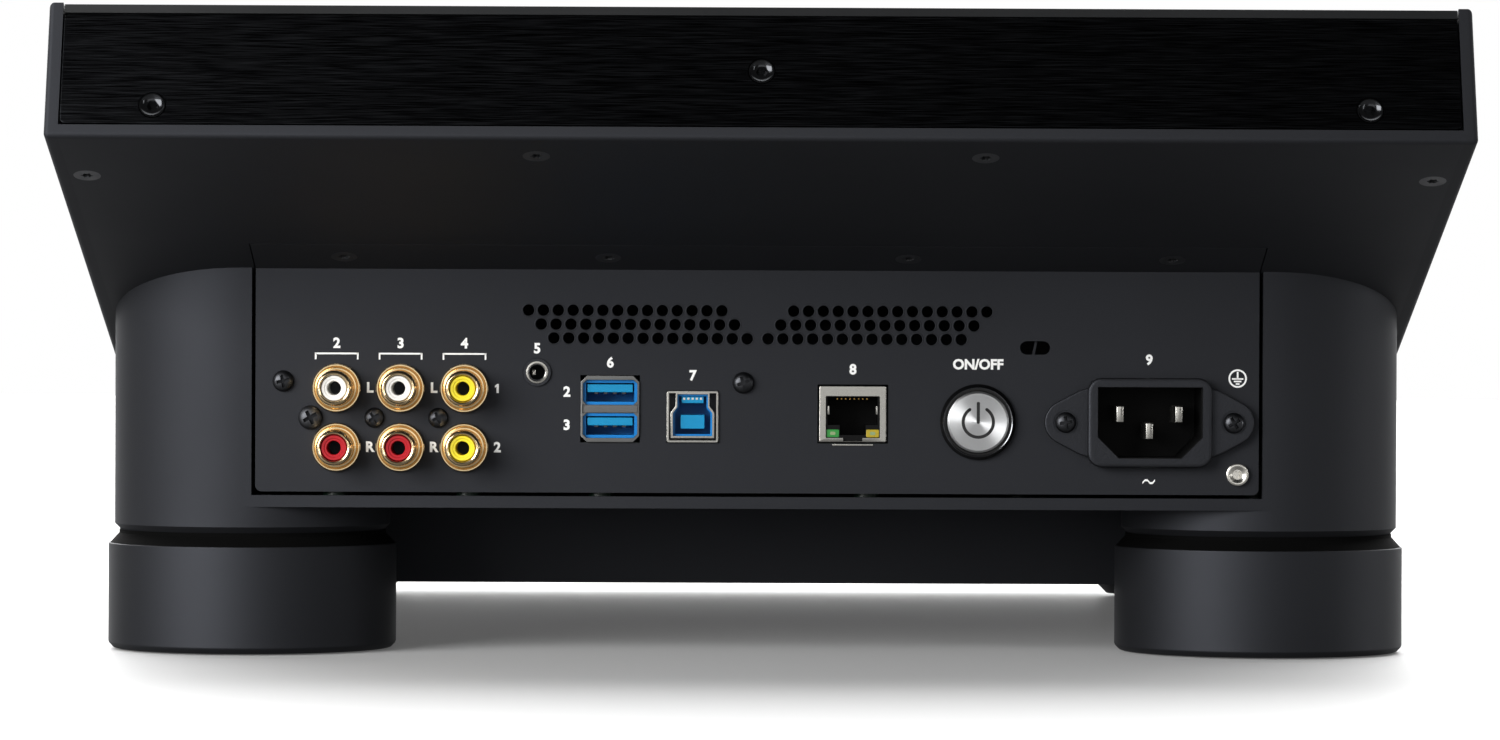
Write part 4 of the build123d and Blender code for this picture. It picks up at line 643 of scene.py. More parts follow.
# %% Gold sleeves and insulators
SLEEVE = [
    (4.2, -1.5), (4.2, 0.0), (5.85, 0.0), (5.85, 1.0), (5.77, 1.3), (5.55, 1.55), (5.3, 1.55), (5.1, 1.35),
    (4.95, 0.95), (4.7, 0.75), (4.4, 0.8), (4.22, 1.1), (4.2, 1.6), (4.2, 8.6), (4.12, 9.05), (3.9, 9.38),
    (3.6, 9.5), (3.3, 9.35), (3.15, 9.0), (3.15, -1.5), (4.2, -1.5),
]
INSULATOR = [
    (1.65, -1.5), (3.05, -1.5), (3.05, 8.55), (2.9, 8.8), (2.35, 8.8), (2.2, 8.6), (1.8, 8.6), (1.65, 8.4),
    (1.65, -1.5),
]
RING_R = 5.85
sleeve_low, sleeve_high = measured("rca_shells", PANEL)
sleeve_x = [sleeve_low.x + RING_R, middle(sleeve_low, sleeve_high)[0], sleeve_high.x - RING_R]
sleeve_y = [sleeve_low.y + RING_R, sleeve_high.y - RING_R]
INSULATOR_COLOURS = {
    "white_insulators": (nylon_white, [(x, sleeve_y[1]) for x in sleeve_x[:2]]),
    "red_insulators": (nylon_red, [(x, sleeve_y[0]) for x in sleeve_x[:2]]),
    "yellow_insulators": (nylon_yellow, [(sleeve_x[2], y) for y in sleeve_y]),
}
sleeves = bmesh.new()
for x in sleeve_x:
    for y in sleeve_y:
        turn(sleeves, SLEEVE, (x, y))
finish_piece("gold_sleeves", sleeves, PANEL, gold_plate, stands_for=["rca_shells"])
for name, (finish, places) in INSULATOR_COLOURS.items():
    insulators = bmesh.new()
    for place in places:
        turn(insulators, INSULATOR, place)
    finish_piece(name, insulators, PANEL, finish, stands_for=["rca_inserts"])
print("six audio sockets, columns at", [round(x, 1) for x in sleeve_x], "mm")

# %% [markdown]
# ## Small jack
# The jack is a black collar with a nickel ring pressed into it. One spring contact shows inside, at the left. The
# ring is spun like the sleeves, and the contact is a small block, since only its end can be seen.

# %% Jack ring and contact
JACK_RING = [
    (1.8, -1.0), (2.75, -1.0), (2.75, 0.55), (2.6, 0.75), (2.2, 0.8), (1.95, 0.65), (1.8, 0.3), (1.8, -1.0),
]
JACK_SPRING, JACK_SPRING_SIDE = (0.9, 1.4), 0.8
jack_x, jack_y = middle(*measured("remote_jack", PANEL))
finish_piece("jack_ring", turned(JACK_RING, (jack_x, jack_y)), PANEL, nickel_plate)
jack_contact = raised(rectangle(jack_x - JACK_SPRING_SIDE, jack_y, *JACK_SPRING), -6.0, -0.7, corner=0.15, edge=0.2)
finish_piece("jack_contact", jack_contact, PANEL, bright_nickel)
print("jack at", round(jack_x, 1), round(jack_y, 1), "mm")

# %% [markdown]
# ## Flat and square data sockets
# A flat socket is a folded nickel-plated shell with a blue moulding inside. The light blue tongue carries the
# contacts, which show as a row of dark notches under its front edge. The stacked shell has cut corners and a set-back
# band between its two ports. It is one block with the openings cut out, since a fold this small shows as an edge.

# %% Stacked flat sockets
OUT = 2.0  # how far a cutting tool stands out of the panel
PORT_STEP, PORT_FLOOR, PORT_CORNER = 3.95, -12.4, 0.9
STACK_CASE, STACK_OPENING, STACK_STEP, STACK_BAND = (14.0, 15.9), (13.0, 6.0), (13.2, 2.2), (13.0, 1.75)
stack_low, stack_high = measured("usb_a_shell", PANEL)
stack_x, stack_y = middle(stack_low, stack_high)
port_heights = (stack_y - PORT_STEP, stack_y + PORT_STEP)
stack = raised(rectangle(stack_x, stack_y, *STACK_CASE), stack_low.z, stack_high.z, corner=1.5, segments=1, edge=0.18)
openings = bmesh.new()
for y in port_heights:
    raise_outline(openings, rectangle(stack_x, y, *STACK_OPENING), PORT_FLOOR, OUT, corner=PORT_CORNER, segments=1)
stack = cut(stack, openings, raised(rectangle(stack_x, stack_y, *STACK_STEP), -0.1, OUT))
finish_piece("stacked_port_shell", stack, PANEL, dull_nickel, stands_for=["usb_a_shell"])
band = raised(rectangle(stack_x, stack_y, *STACK_BAND), -0.6, 0.1, edge=0.1)
finish_piece("stacked_port_band", band, PANEL, dull_nickel)
print("stacked ports at", round(stack_x, 1), [round(y, 1) for y in port_heights], "mm")

# %% Blue mouldings and tongues of the flat sockets
FRONT_OPENING, LINING_HOLE, LINING_SLIP, LINING_BACK = (12.2, 5.2), (11.5, 4.5), 0.1, 1.2
TONGUE, TONGUE_UP = (10.8, 1.9), 0.95
CONTACT, CONTACT_DOWN, CONTACT_STEP = (0.9, 0.4), 1.15, 2.2
FRONT = plane(DECK.translation, (1, 0, 0), -DECK.col[1].xyz.normalized())
front_low, front_high = measured("front_usb_shell", FRONT)
front_middle = middle(front_low, front_high)


def port_pieces(name, place, mouth, opening, ports, stands_for=()):
    """Makes the blue linings, the tongues and the contacts of flat ports whose mouths are at a height."""
    linings, tongues, contacts = bmesh.new(), bmesh.new(), bmesh.new()
    for x, y in ports:
        lining = raised(rectangle(x, y, opening[0] - LINING_SLIP, opening[1] - LINING_SLIP),
                        mouth - 12.9, mouth - LINING_BACK, corner=PORT_CORNER, segments=1)
        join(linings, cut(lining, raised(rectangle(x, y, *LINING_HOLE), mouth - 12.2, mouth)))
        raise_outline(tongues, rectangle(x, y + TONGUE_UP, *TONGUE), mouth - 12.6, mouth - 1.1, corner=0.2, edge=0.2)
        for i in range(4):
            contact = rectangle(x + CONTACT_STEP * (i - 1.5), y + TONGUE_UP - CONTACT_DOWN, *CONTACT)
            raise_outline(contacts, contact, mouth - 9.0, mouth - 1.3)
    finish_piece(name + "_linings", linings, place, blue_pbt, stands_for=stands_for)
    finish_piece(name + "_tongues", tongues, place, light_blue_pbt, stands_for=stands_for)
    finish_piece(name + "_contacts", contacts, place, black_steel)


port_pieces("stacked_port", PANEL, stack_high.z, STACK_OPENING, [(stack_x, y) for y in port_heights], ["usb_cores"])
port_pieces("front_port", FRONT, front_high.z, FRONT_OPENING, [front_middle])
print("front port at", [round(v, 1) for v in front_middle], "mm on the front face")

# %% [markdown]
# The square socket has a stepped opening with a raised rim. The rim, the lining and the opening have the same outline
# in different sizes, so one function raises it, and what has to be open is cut out with it.

# %% Square socket
SQUARE_WINDOW = [
    (-4.7, -4.6), (4.7, -4.6), (4.7, 0.9), (3.65, 2.3), (3.65, 5.4), (-3.65, 5.4), (-3.65, 2.3), (-4.7, 0.9),
]
RIM_GROWTH, LINING_GROWTH, HOLE_GROWTH = 1.11, 0.99, 0.9
SQUARE_CASE, SQUARE_ROOM, SQUARE_BACKING, SQUARE_FLOOR = (12.3, 12.3), (11.3, 11.3), (11.2, 11.2), -4.0
SQUARE_TONGUES = ((-1.2, 5.7, 3.3, -1.0), (4.0, 5.3, 1.5, -0.9))  # up, width, height and top of each
SQUARE_CONTACT, SQUARE_CONTACT_UP, SQUARE_CONTACT_STEP = (0.5, 0.5), 4.3, 1.0
square_low, square_high = measured("usb_b_shell", PANEL)
square_x, square_y = middle(square_low, square_high)


def square_block(bottom, top, growth=1.0, **edges):
    """A block with the outline of the stepped opening."""
    return raised(about(square_x, square_y, SQUARE_WINDOW, growth), bottom, top, **edges)


case = raised(rectangle(square_x, square_y, *SQUARE_CASE), square_low.z, square_high.z, corner=0.5, edge=0.15)
room = raised(rectangle(square_x, square_y, *SQUARE_ROOM), SQUARE_FLOOR, OUT)
case = cut(case, room, square_block(PORT_FLOOR, OUT))
rim = square_block(-5.0, square_high.z - 0.05, RIM_GROWTH, edge=0.12)
join(case, cut(rim, square_block(PORT_FLOOR, OUT)))
backing = raised(rectangle(square_x, square_y, *SQUARE_BACKING), SQUARE_FLOOR, -3.6)
backing = cut(backing, square_block(PORT_FLOOR, OUT))
finish_piece("square_port_backing", backing, PANEL, socket_nylon)
finish_piece("square_port_shell", case, PANEL, nickel_plate, stands_for=["usb_b_shell"])
print("square port at", round(square_x, 1), round(square_y, 1), "mm")

# %% Blue moulding of the square socket
lining = cut(square_block(-12.3, -0.6, LINING_GROWTH), square_block(-11.5, 1.0, HOLE_GROWTH))
finish_piece("square_port_lining", lining, PANEL, blue_pbt, stands_for=["usb_cores"])
tongues = bmesh.new()
for up, width, height, top in SQUARE_TONGUES:
    raise_outline(tongues, rectangle(square_x, square_y + up, width, height), -12.0, top, corner=0.15, edge=0.15)
finish_piece("square_port_tongues", tongues, PANEL, light_blue_pbt, stands_for=["usb_cores"])
contacts = bmesh.new()
for i in range(5):
    contact = rectangle(square_x + SQUARE_CONTACT_STEP * (i - 2), square_y + SQUARE_CONTACT_UP, *SQUARE_CONTACT)
    raise_outline(contacts, contact, -4.0, -0.8)
finish_piece("square_port_contacts", contacts, PANEL, bright_nickel)
print(len(SQUARE_TONGUES), "tongues in the square port")

# %% [markdown]
# ## Network socket
# A bent nickel shield frames a black moulding. Two lights sit in its lower corners and eight gold springs hang
# from the roof. The shield's lower edge dips in the middle for the plug's latch, and small springs press in from
# the sides. Folding a sheet takes many steps. A block with three cuts has the same thin walls.

# %% Network shield, lights and springs
SHIELD, SHIELD_ROOM, SHIELD_MOUTH, LATCH = (16.0, 13.4), (15.2, 12.6), (12.9, 10.0), (4.6, 1.2)
MOUTH_DOWN, LATCH_DOWN, SHIELD_LIP, LIP_DOWN = 0.7, 5.9, (9.8, 0.4), 7.35
SIDE_SPRING, SIDE_SPRING_OUT, SIDE_SPRING_UP = (0.45, 2.0), 5.75, 0.9
SPRING, SPRING_STEP, SPRING_UP = (0.4, 0.4), 1.02, 3.6
LIGHT, LIGHT_CORE, LIGHT_SIDE, LIGHT_DOWN = (3.1, 1.9), (1.3, 0.8), 4.75, 4.6
link_low, link_high = measured("network_shell", PANEL)
link_x, link_y = middle(link_low, link_high)
shield = cut(
    raised(rectangle(link_x, link_y, *SHIELD), link_low.z, link_high.z, corner=0.35, edge=0.25),
    raised(rectangle(link_x, link_y, *SHIELD_ROOM), link_low.z - 1.0, 0.02),
    raised(rectangle(link_x, link_y - MOUTH_DOWN, *SHIELD_MOUTH), -1.0, OUT, corner=0.2),
    raised(rectangle(link_x, link_y - LATCH_DOWN, *LATCH), -1.0, OUT))
raise_outline(shield, rectangle(link_x, link_y - LIP_DOWN, *SHIELD_LIP), -0.3, 0.35, edge=0.1)
for side in (-1, 1):
    spring = rectangle(link_x + side * SIDE_SPRING_OUT, link_y + SIDE_SPRING_UP, *SIDE_SPRING)
    raise_outline(shield, spring, -4.0, 0.1, edge=0.1)
finish_piece("network_shield", shield, PANEL, nickel_plate, stands_for=["network_shell"])
for name, side, lens in (("green_light", -1, green_lens), ("yellow_light", 1, yellow_lens)):
    x, y = link_x + side * LIGHT_SIDE, link_y - LIGHT_DOWN
    light = raised(rectangle(x, y, *LIGHT), -0.5, 0.15, corner=0.3, edge=0.2)
    finish_piece(name, light, PANEL, lens)
    core = raised(rectangle(x, y, *LIGHT_CORE), 0.0, 0.2, corner=0.35)
    finish_piece(name + "_core", core, PANEL, lens_core)
springs = bmesh.new()
for i in range(8):
    spring = rectangle(link_x + SPRING_STEP * (i - 3.5), link_y + SPRING_UP, *SPRING)
    raise_outline(springs, spring, -11.0, -5.0, edge=0.1)
finish_piece("network_springs", springs, PANEL, contact_gold)
print("network socket at", round(link_x, 1), round(link_y, 1), "mm")

# %% [markdown]
# ## Power switch
# The button is a spun metal disc, engraved with the standard power sign and filled with black. A thin chrome ring
# round the black bezel paints the highlight of its rounded edge. The sign's arc is a small square that is spun most
# of the way round, which keeps its line even. The sign rides on the button, so it goes in with it.

# %% Power sign and the bezel's painted highlight ring
INK = 0.04
SIGN_R, SIGN_LINE, SIGN_GAP = 3.6, 0.75, math.radians(34)
SIGN_BAR, SIGN_BAR_UP = 5.2, 2.2
HIGHLIGHT_RING = [(8.0, 1.6), (8.3, 1.6), (8.35, 1.8), (8.2, 1.95), (8.0, 1.85), (8.0, 1.6)]
disc_low, disc_high = measured("power_button", PANEL)
disc_x, disc_y = middle(disc_low, disc_high)
ink_low, ink_high = disc_high.z - INK, disc_high.z + INK
arc_in, arc_out = SIGN_R - SIGN_LINE / 2, SIGN_R + SIGN_LINE / 2
gap_x, gap_y = math.sin(SIGN_GAP), math.cos(SIGN_GAP)
sign = bmesh.new()
start = [sign.verts.new((disc_x + radius * gap_x, disc_y + radius * gap_y, height)) for radius, height in
         ((arc_in, ink_low), (arc_out, ink_low), (arc_out, ink_high), (arc_in, ink_high))]
stroke = sign.faces.new(start)
bmesh.ops.spin(sign, geom=[stroke, *stroke.edges, *start], cent=(disc_x, disc_y, 0), axis=(0, 0, 1),
               angle=2 * SIGN_GAP - math.tau, steps=48)
for side in (-1, 1):
    dot = [(0, ink_low), (SIGN_LINE / 2, ink_low), (SIGN_LINE / 2, ink_high), (0, ink_high)]
    turn(sign, dot, (disc_x + side * SIGN_R * gap_x, disc_y + SIGN_R * gap_y), 16)
raise_outline(sign, rectangle(disc_x, disc_y + SIGN_BAR_UP, SIGN_LINE, SIGN_BAR), ink_low, ink_high, corner=0.3)
finish_piece("power_sign", sign, PANEL, dark_ink, body="power_button")
# A chrome ring on the bezel's rounded edge, partly a painted highlight
finish_piece("bezel_highlight_ring", turned(HIGHLIGHT_RING, (disc_x, disc_y), 96), PANEL, highlight_chrome_ring)
print("power switch at", round(disc_x, 1), round(disc_y, 1), "mm")

# %% [markdown]
# ## Mains inlet
# The inlet is moulded in one piece: a flange with two screw ears and a shroud whose edges are well rounded, since
# a plug is pushed over it. Three plated pins with chamfered tips stand in the dark cavity, whose walls carry a near
# black sheet of painted shade. The shroud is a block whose edges are broken before the cavity is cut, so that only its
# outer edges are round.

# %% Inlet moulding and pins
INLET_FLANGE = [
    (-25.0, -3.2), (-14.8, -8.6), (14.8, -8.6), (25.0, -3.2), (25.0, 3.2), (14.8, 8.6), (-14.8, 8.6), (-25.0, 3.2),
]
INLET_CAVITY = [(-12.5, 8.5), (-12.5, -3.5), (-7.5, -8.5), (7.5, -8.5), (12.5, -3.5), (12.5, 8.5)]
INLET_SHROUD, INLET_ROOM, INLET_OUT, INLET_SCREW_SIDE = (29.7, 21.3), (28.0, 19.6), 8.0, 20.0
EAR_HOLE = [(0, -1), (1.5, -1), (1.5, 1.9), (2.95, 1.9), (2.95, 4), (0, 4)]
PIN, PIN_PLACES = (2.0, 4.0), [(-7.0, 2.0), (7.0, 2.0), (0.0, -2.0)]
CAVITY_GROWTH = 0.98
inlet_low, inlet_high = measured("mains_inlet", PANEL)
inlet_x, inlet_y = middle(inlet_low, inlet_high)
cavity, cavity_floor = about(inlet_x, inlet_y, INLET_CAVITY), inlet_low.z + 2.0
shroud = rectangle(inlet_x, inlet_y, *INLET_SHROUD)
shroud = raised(shroud, inlet_low.z, inlet_high.z, corner=3.5, segments=6, edge=0.9)
moulding = cut(shroud, raised(cavity, cavity_floor, INLET_OUT))
flange = raised(about(inlet_x, inlet_y, INLET_FLANGE), 0.0, 2.2, corner=3.0, segments=6, edge=0.5)
hollow = raised(rectangle(inlet_x, inlet_y, *INLET_ROOM), -1.0, INLET_OUT, corner=3.0)
for side in (-1, 1):
    turn(hollow, EAR_HOLE, (inlet_x + side * INLET_SCREW_SIDE, inlet_y), 32)
join(moulding, cut(flange, hollow))
finish_piece("inlet_moulding", moulding, PANEL, socket_nylon, stands_for=["mains_inlet"])
# A near black sheet on the cavity's walls and floor: painted shade of the deep cavity
hollow = raised(about(inlet_x, inlet_y, INLET_CAVITY, CAVITY_GROWTH), cavity_floor + 0.3, INLET_OUT)
lining = cut(raised(cavity, cavity_floor, inlet_high.z - LINING_BACK), hollow)
finish_piece("inlet_cavity_shade", lining, PANEL, carrier_black_and_cavity_shade)
pins_low, pins_high = measured("mains_pins", PANEL)
pins = bmesh.new()
for x, y in PIN_PLACES:
    raise_outline(pins, rectangle(inlet_x + x, inlet_y + y, *PIN), pins_low.z, pins_high.z, edge=0.7)
finish_piece("inlet_pins", pins, PANEL, nickel_plate, stands_for=["mains_pins"])
print("inlet at", round(inlet_x, 1), round(inlet_y, 1), "mm")

# %% [markdown]
# ## Fascia
# The brushed plate has a broken edge all round. Its three screws are polished dishes with a six-sided socket, set in
# holes of their own size. A screw's profile is drawn in parts of its radius, so one profile serves every size.

# %% Fascia plate and its screws
DISH = [
    (0.0, -1.1), (0.97, -1.1), (0.97, -0.06), (0.93, 0.0), (0.85, 0.0), (0.8, -0.05), (0.52, -0.24), (0.0, -0.24),
]
HEX = [(0.0, -0.9), (0.42, -0.9), (0.42, 1.0), (0.0, 1.0)]
SCREW_BANDS = ((-200, -50), (-50, 50), (50, 200))
HEAD_STEPS, HOLE_HALF = 40, 10


def sized(profile, radius, base):
    """A profile in parts of a radius, in millimetres over a base."""
    return [(r * radius, base + h * radius) for r, h in profile]


screw_points = points_of("fascia_screws", FASCIA)
dishes, holes = bmesh.new(), bmesh.new()
for band_start, band_end in SCREW_BANDS:
    low, high = corners_of([p for p in screw_points if band_start < p.x < band_end])
    place, radius = middle(low, high), (high.x - low.x) / 2
    dish = turned(sized(DISH, radius, high.z), place, HEAD_STEPS)
    join(dishes, cut(dish, turned(sized(HEX, radius, high.z), place, 6)))
    turn(holes, [(0, -HOLE_HALF), (radius, -HOLE_HALF), (radius, HOLE_HALF), (0, HOLE_HALF)], place, HEAD_STEPS)
finish_piece("fascia_screw_heads", dishes, FASCIA, polished_black, stands_for=["fascia_screws"])
low, high = measured("rear_fascia", FASCIA)
plate = rectangle(*middle(low, high), high.x - low.x, high.y - low.y)
plate = cut(raised(plate, low.z, high.z, corner=1.2, edge=0.3), holes)
finish_piece("fascia_plate", plate, FASCIA, brushed_black, stands_for=["rear_fascia"])
print("fascia plate with", len(SCREW_BANDS), "screws")

# %% [markdown]
# ## Screws on the panel
# Dome-headed screws with a cross recess hold the sockets and the panel. The dome gives a soft highlight and the
# recess breaks it, and no two crosses stop at the same angle. The screw beside the first audio sockets is larger and
# not blackened as deeply, and the earth screw is flat, dished and plain bright nickel. A recess could be a pattern in
# the relief, but one that is cut has real shadow in it from every side.

# %% A head with a cross recess
DOME = [
    (0.0, -1.0), (0.75, -1.0), (0.75, -0.2), (1.0, -0.2), (1.0, 0.12), (0.96, 0.32), (0.85, 0.5), (0.66, 0.64),
    (0.42, 0.72), (0.2, 0.75), (0.0, 0.75),
]
FLAT = [
    (0.0, -1.0), (0.75, -1.0), (0.75, -0.2), (1.0, -0.2), (1.0, 0.35), (0.97, 0.42), (0.9, 0.46), (0.74, 0.46),
    (0.66, 0.41), (0.44, 0.24), (0.0, 0.24),
]
CROSS_LONG, CROSS_SHORT, CROSS_WIDE, CROSS_FLOOR = 1.2, 0.7, 0.3, -0.5


def screw_head(x, y, base, radius, angle, profile=DOME, long=CROSS_LONG):
    """A head with a cross recess; its profile and the cross are in parts of the radius."""
    arms = []
    for quarter in (0, 90):
        arm = rectangle(x, y, long * radius, CROSS_WIDE * radius)
        arm = raised(arm, base + CROSS_FLOOR * radius, base + 2 * radius)
        swing = Matrix.Rotation(math.radians(angle + quarter), 3, "Z")
        bmesh.ops.rotate(arm, cent=(x, y, 0), matrix=swing, verts=arm.verts)
        arms.append(arm)
    return cut(turned(sized(profile, radius, base), (x, y), HEAD_STEPS), *arms)


print("cross", CROSS_LONG, "by", CROSS_WIDE, "of the radius")

# %% Screws with a cross recess
PANEL_SCREW_Y, MIDDLE_SCREW_X, SIDE_SCREW_X, SOCKET_SCREW_SIDE = 65.4, -3.4, -112.9, 6.2
INLET_FACE = 1.9
socket_screw_y = sum(sleeve_y) / 2
first_x, second_x, third_x = [x - SOCKET_SCREW_SIDE for x in sleeve_x]
BLACK_HEADS = [  # place, base and radius in millimetres, turn of the cross in degrees
    (SIDE_SCREW_X, PANEL_SCREW_Y, 0.0, 2.55, 12), (MIDDLE_SCREW_X, PANEL_SCREW_Y, 0.0, 2.6, 20),
    (second_x, socket_screw_y, 0.0, 2.4, 35), (third_x, socket_screw_y, 0.0, 2.4, 24),
    (inlet_x - INLET_SCREW_SIDE, inlet_y, INLET_FACE, 2.5, 8),
    (inlet_x + INLET_SCREW_SIDE, inlet_y, INLET_FACE, 2.5, 31),
]
heads = bmesh.new()
for head in BLACK_HEADS:
    join(heads, screw_head(*head))
finish_piece("panel_screw_heads", heads, PANEL, black_steel, stands_for=["panel_screws"])
large_head = screw_head(first_x, socket_screw_y, 0.0, 2.9, 28)
finish_piece("large_screw_head", large_head, PANEL, worn_steel)
earth_x, earth_screw_y = middle(*measured("earth_screw", PANEL))
earth_head = screw_head(earth_x, earth_screw_y, 0.0, 2.7, 40, FLAT, CROSS_SHORT)
finish_piece("earth_screw_head", earth_head, PANEL, bright_nickel, stands_for=["earth_screw"])
print(len(BLACK_HEADS) + 2, "screw heads")

# %% [markdown]
# ## Printing on the socket panel
# The panel is marked in white ink by screen printing: channel letters and numbers beside the sockets, lines that
# group them, and the standard signs for mains current and earth. Type is made as text, turned into a mesh and laid on
# the panel, a few hundredths of a millimetre thick like real ink. The font's numeral one is a bare bar, so that one
# is drawn.

# %% Type and lines
TYPE, TYPE_BOLD = 3.3, 0.13
ONE = [(-0.25, -1.1), (0.3, -1.1), (0.3, 1.1), (-0.1, 1.1), (-0.65, 0.65), (-0.65, 0.15), (-0.25, 0.4)]


def write(bm, words, x, y, size=TYPE, surface=0.0):
    """Adds printed characters about a point: a text curve that is made a mesh."""
    if words == "1":
        raise_outline(bm, about(x, y, ONE), surface - INK, surface + INK)
        return
    text = bpy.data.curves.new("type", "FONT")
    text.body, text.size, text.offset, text.extrude, text.resolution_u = words, size, TYPE_BOLD, INK, 3
    text.align_x, text.align_y = "CENTER", "CENTER"
    holder = bpy.data.objects.new("type", text)
    scene.collection.objects.link(holder)
    bpy.context.view_layer.update()
    mesh = bpy.data.meshes.new_from_object(holder.evaluated_get(bpy.context.evaluated_depsgraph_get()))
    mesh.transform(Matrix.Translation((x, y, surface)))
    bm.from_mesh(mesh)
    bpy.data.meshes.remove(mesh)
    bpy.data.curves.remove(text)


def line(bm, x, y, width, height, surface=0.0):
    """Adds a printed bar about a point."""
    raise_outline(bm, rectangle(x, y, width, height), surface - INK, surface + INK)


print("type", TYPE, "mm high")

# %% White marks
LETTER_SIDE, PORT_NUMBER_SIDE = 7.9, 10.3
BRACKET_UP, BRACKET_DROP, BRACKET_LINE, BRACKET_HALF, BRACKET_NUMBER = 8.2, 1.2, 0.4, 5.0, 2.4
marks = bmesh.new()
for x, letters in zip(sleeve_x, ("RL", "RL", "21")):
    for letter, y in zip(letters, sleeve_y):
        write(marks, letter, x + LETTER_SIDE, y)
for number, x in zip("234", sleeve_x):
    y = sleeve_y[1] + BRACKET_UP
    line(marks, x, y, 2 * BRACKET_HALF, BRACKET_LINE)
    for end in (-BRACKET_HALF, BRACKET_HALF):
        line(marks, x + end, y - BRACKET_DROP / 2, BRACKET_LINE, BRACKET_DROP + BRACKET_LINE)
    write(marks, number, x, y + BRACKET_NUMBER)
for number, y in zip("32", port_heights):
    write(marks, number, stack_x - PORT_NUMBER_SIDE, y)
bezel_top = measured("power_bezel", PANEL)[1].y
LABELS = [
    ("5", jack_x, jack_y + 5.6), ("6", stack_x, stack_high.y + 3.0), ("7", square_x, square_high.y + 3.6),
    ("8", link_x, link_high.y + 3.6), ("ON/OFF", disc_x, bezel_top + 4.6), ("9", inlet_x, inlet_high.y + 4.2),
]
for words, x, y in LABELS:
    write(marks, words, x, y)
print(len(LABELS), "labels over the sockets")

# %% Earth and mains signs
EARTH_R, EARTH_LINE, EARTH_UP = 2.2, 0.42, 10.6
EARTH_STEM, EARTH_STEM_UP = 1.7, 0.75
EARTH_BARS, EARTH_BAR, EARTH_STEP, EARTH_BARS_DOWN = (2.7, 1.8, 0.9), 0.36, 0.6, 0.1
WAVE = [(-1.5, -0.35), (-0.9, 0.35), (-0.3, 0.35), (0.3, -0.35), (0.9, -0.35), (1.5, 0.35)]
WAVE_LINE, WAVE_DOWN = 0.5, 3.4


def ring(bm, x, y, outer, width, surface=0.0, steps=64):
    """Adds a printed ring about a point."""
    inner, low, high = outer - width, surface - INK, surface + INK
    turn(bm, [(inner, low), (outer, low), (outer, high), (inner, high), (inner, low)], (x, y), steps)


earth_y = inlet_y + EARTH_UP
ring(marks, earth_x, earth_y, EARTH_R, EARTH_LINE, steps=48)
line(marks, earth_x, earth_y + EARTH_STEM_UP, EARTH_LINE, EARTH_STEM)
for step, width in enumerate(EARTH_BARS):
    line(marks, earth_x, earth_y - EARTH_BARS_DOWN - EARTH_STEP * step, width, EARTH_BAR)
wave_y = inlet_low.y - WAVE_DOWN
ribbon = about(inlet_x, wave_y + WAVE_LINE / 2, WAVE) + about(inlet_x, wave_y - WAVE_LINE / 2, WAVE[::-1])
raise_outline(marks, ribbon, -INK, INK)
finish_piece("panel_marks", marks, PANEL, white_ink)
print("signs printed")

# %% [markdown]
# ## Vents and lock slot
# The coat draws back from a punched edge and builds up beside it, so every vent has a thin raised rim that catches the
# light. The CAD holes can't be bevelled here, since their vertices are guarded, so each rim is a thin spun ring. The
# slot for a cable lock has a slanted bar behind it, which divides it in two.

# %% Vent rims and the bar behind the lock slot
VENT_R, VENT_STEP, VENT_DROP, VENT_SHIFT, VENT_TOP, VENT_SIDE = 1.35, 3.54, 3.3, 3.03, 82.5, 8.55
VENT_ROWS, VENT_COLUMNS, VENT_STEPS = 3, 14, 20
RIM = [
    (1.0, -0.3), (1.0, -0.02), (1.05, 0.05), (1.12, 0.07), (1.2, 0.05), (1.27, -0.02), (1.27, -0.3), (1.0, -0.3),
]
LOCK_X, LOCK_Y = 66.1, 74.0
LOCK_BAR = [(-0.8, -2.4), (-0.2, -2.4), (0.8, 2.4), (0.2, 2.4)]
vent_rim = [(VENT_R * r, height) for r, height in RIM]
vent_rims = bmesh.new()
for row in range(VENT_ROWS):
    for column in range(VENT_COLUMNS):
        x = VENT_SIDE - row * VENT_SHIFT + column * VENT_STEP
        for side in (-1, 1):
            turn(vent_rims, vent_rim, (side * x, VENT_TOP - row * VENT_DROP), VENT_STEPS)
finish_piece("vent_rims", vent_rims, PANEL, powder_coat)
bar = raised(about(LOCK_X, LOCK_Y, LOCK_BAR), -2.1, -1.5)
finish_piece("lock_bar", bar, PANEL, powder_coat)
print(2 * VENT_ROWS * VENT_COLUMNS, "vent rims")

# %% [markdown]
# ## Marks on the keys
# Each key carries the sign that such a key has on any player: a triangle and two bars for play and pause, a disc
# and a bar for the cue point, double triangles for the tracks, two linked rings for sync, minus and plus for the
# bend keys, and an arrow for back. A sign rides on its own key. The rings round the two large keys are
# translucent inlays, green and amber. All are as thick as ink and real meshes, so that they stay sharp close up.

# %% Key tops and triangles
def key_top(node, place):
    """Middle of a key's top on a plane, and its height."""
    low, high = measured(node, place)
    return *middle(low, high), high.z


def triangle(bm, x, y, half, point, surface):
    """Adds a triangle about a point; point is its length, to the right or, where negative, to the left."""
    corners = [(x - point / 2, y - half), (x + point / 2, y), (x - point / 2, y + half)]
    raise_outline(bm, corners, surface - INK, surface + INK)


print("play key at", [round(v, 1) for v in key_top("play_button", DECK)], "mm")

# %% Signs on the keys
KEYS = ("play", "cue", "track_back", "track_forward", "sync", "bend_down", "bend_up", "back")
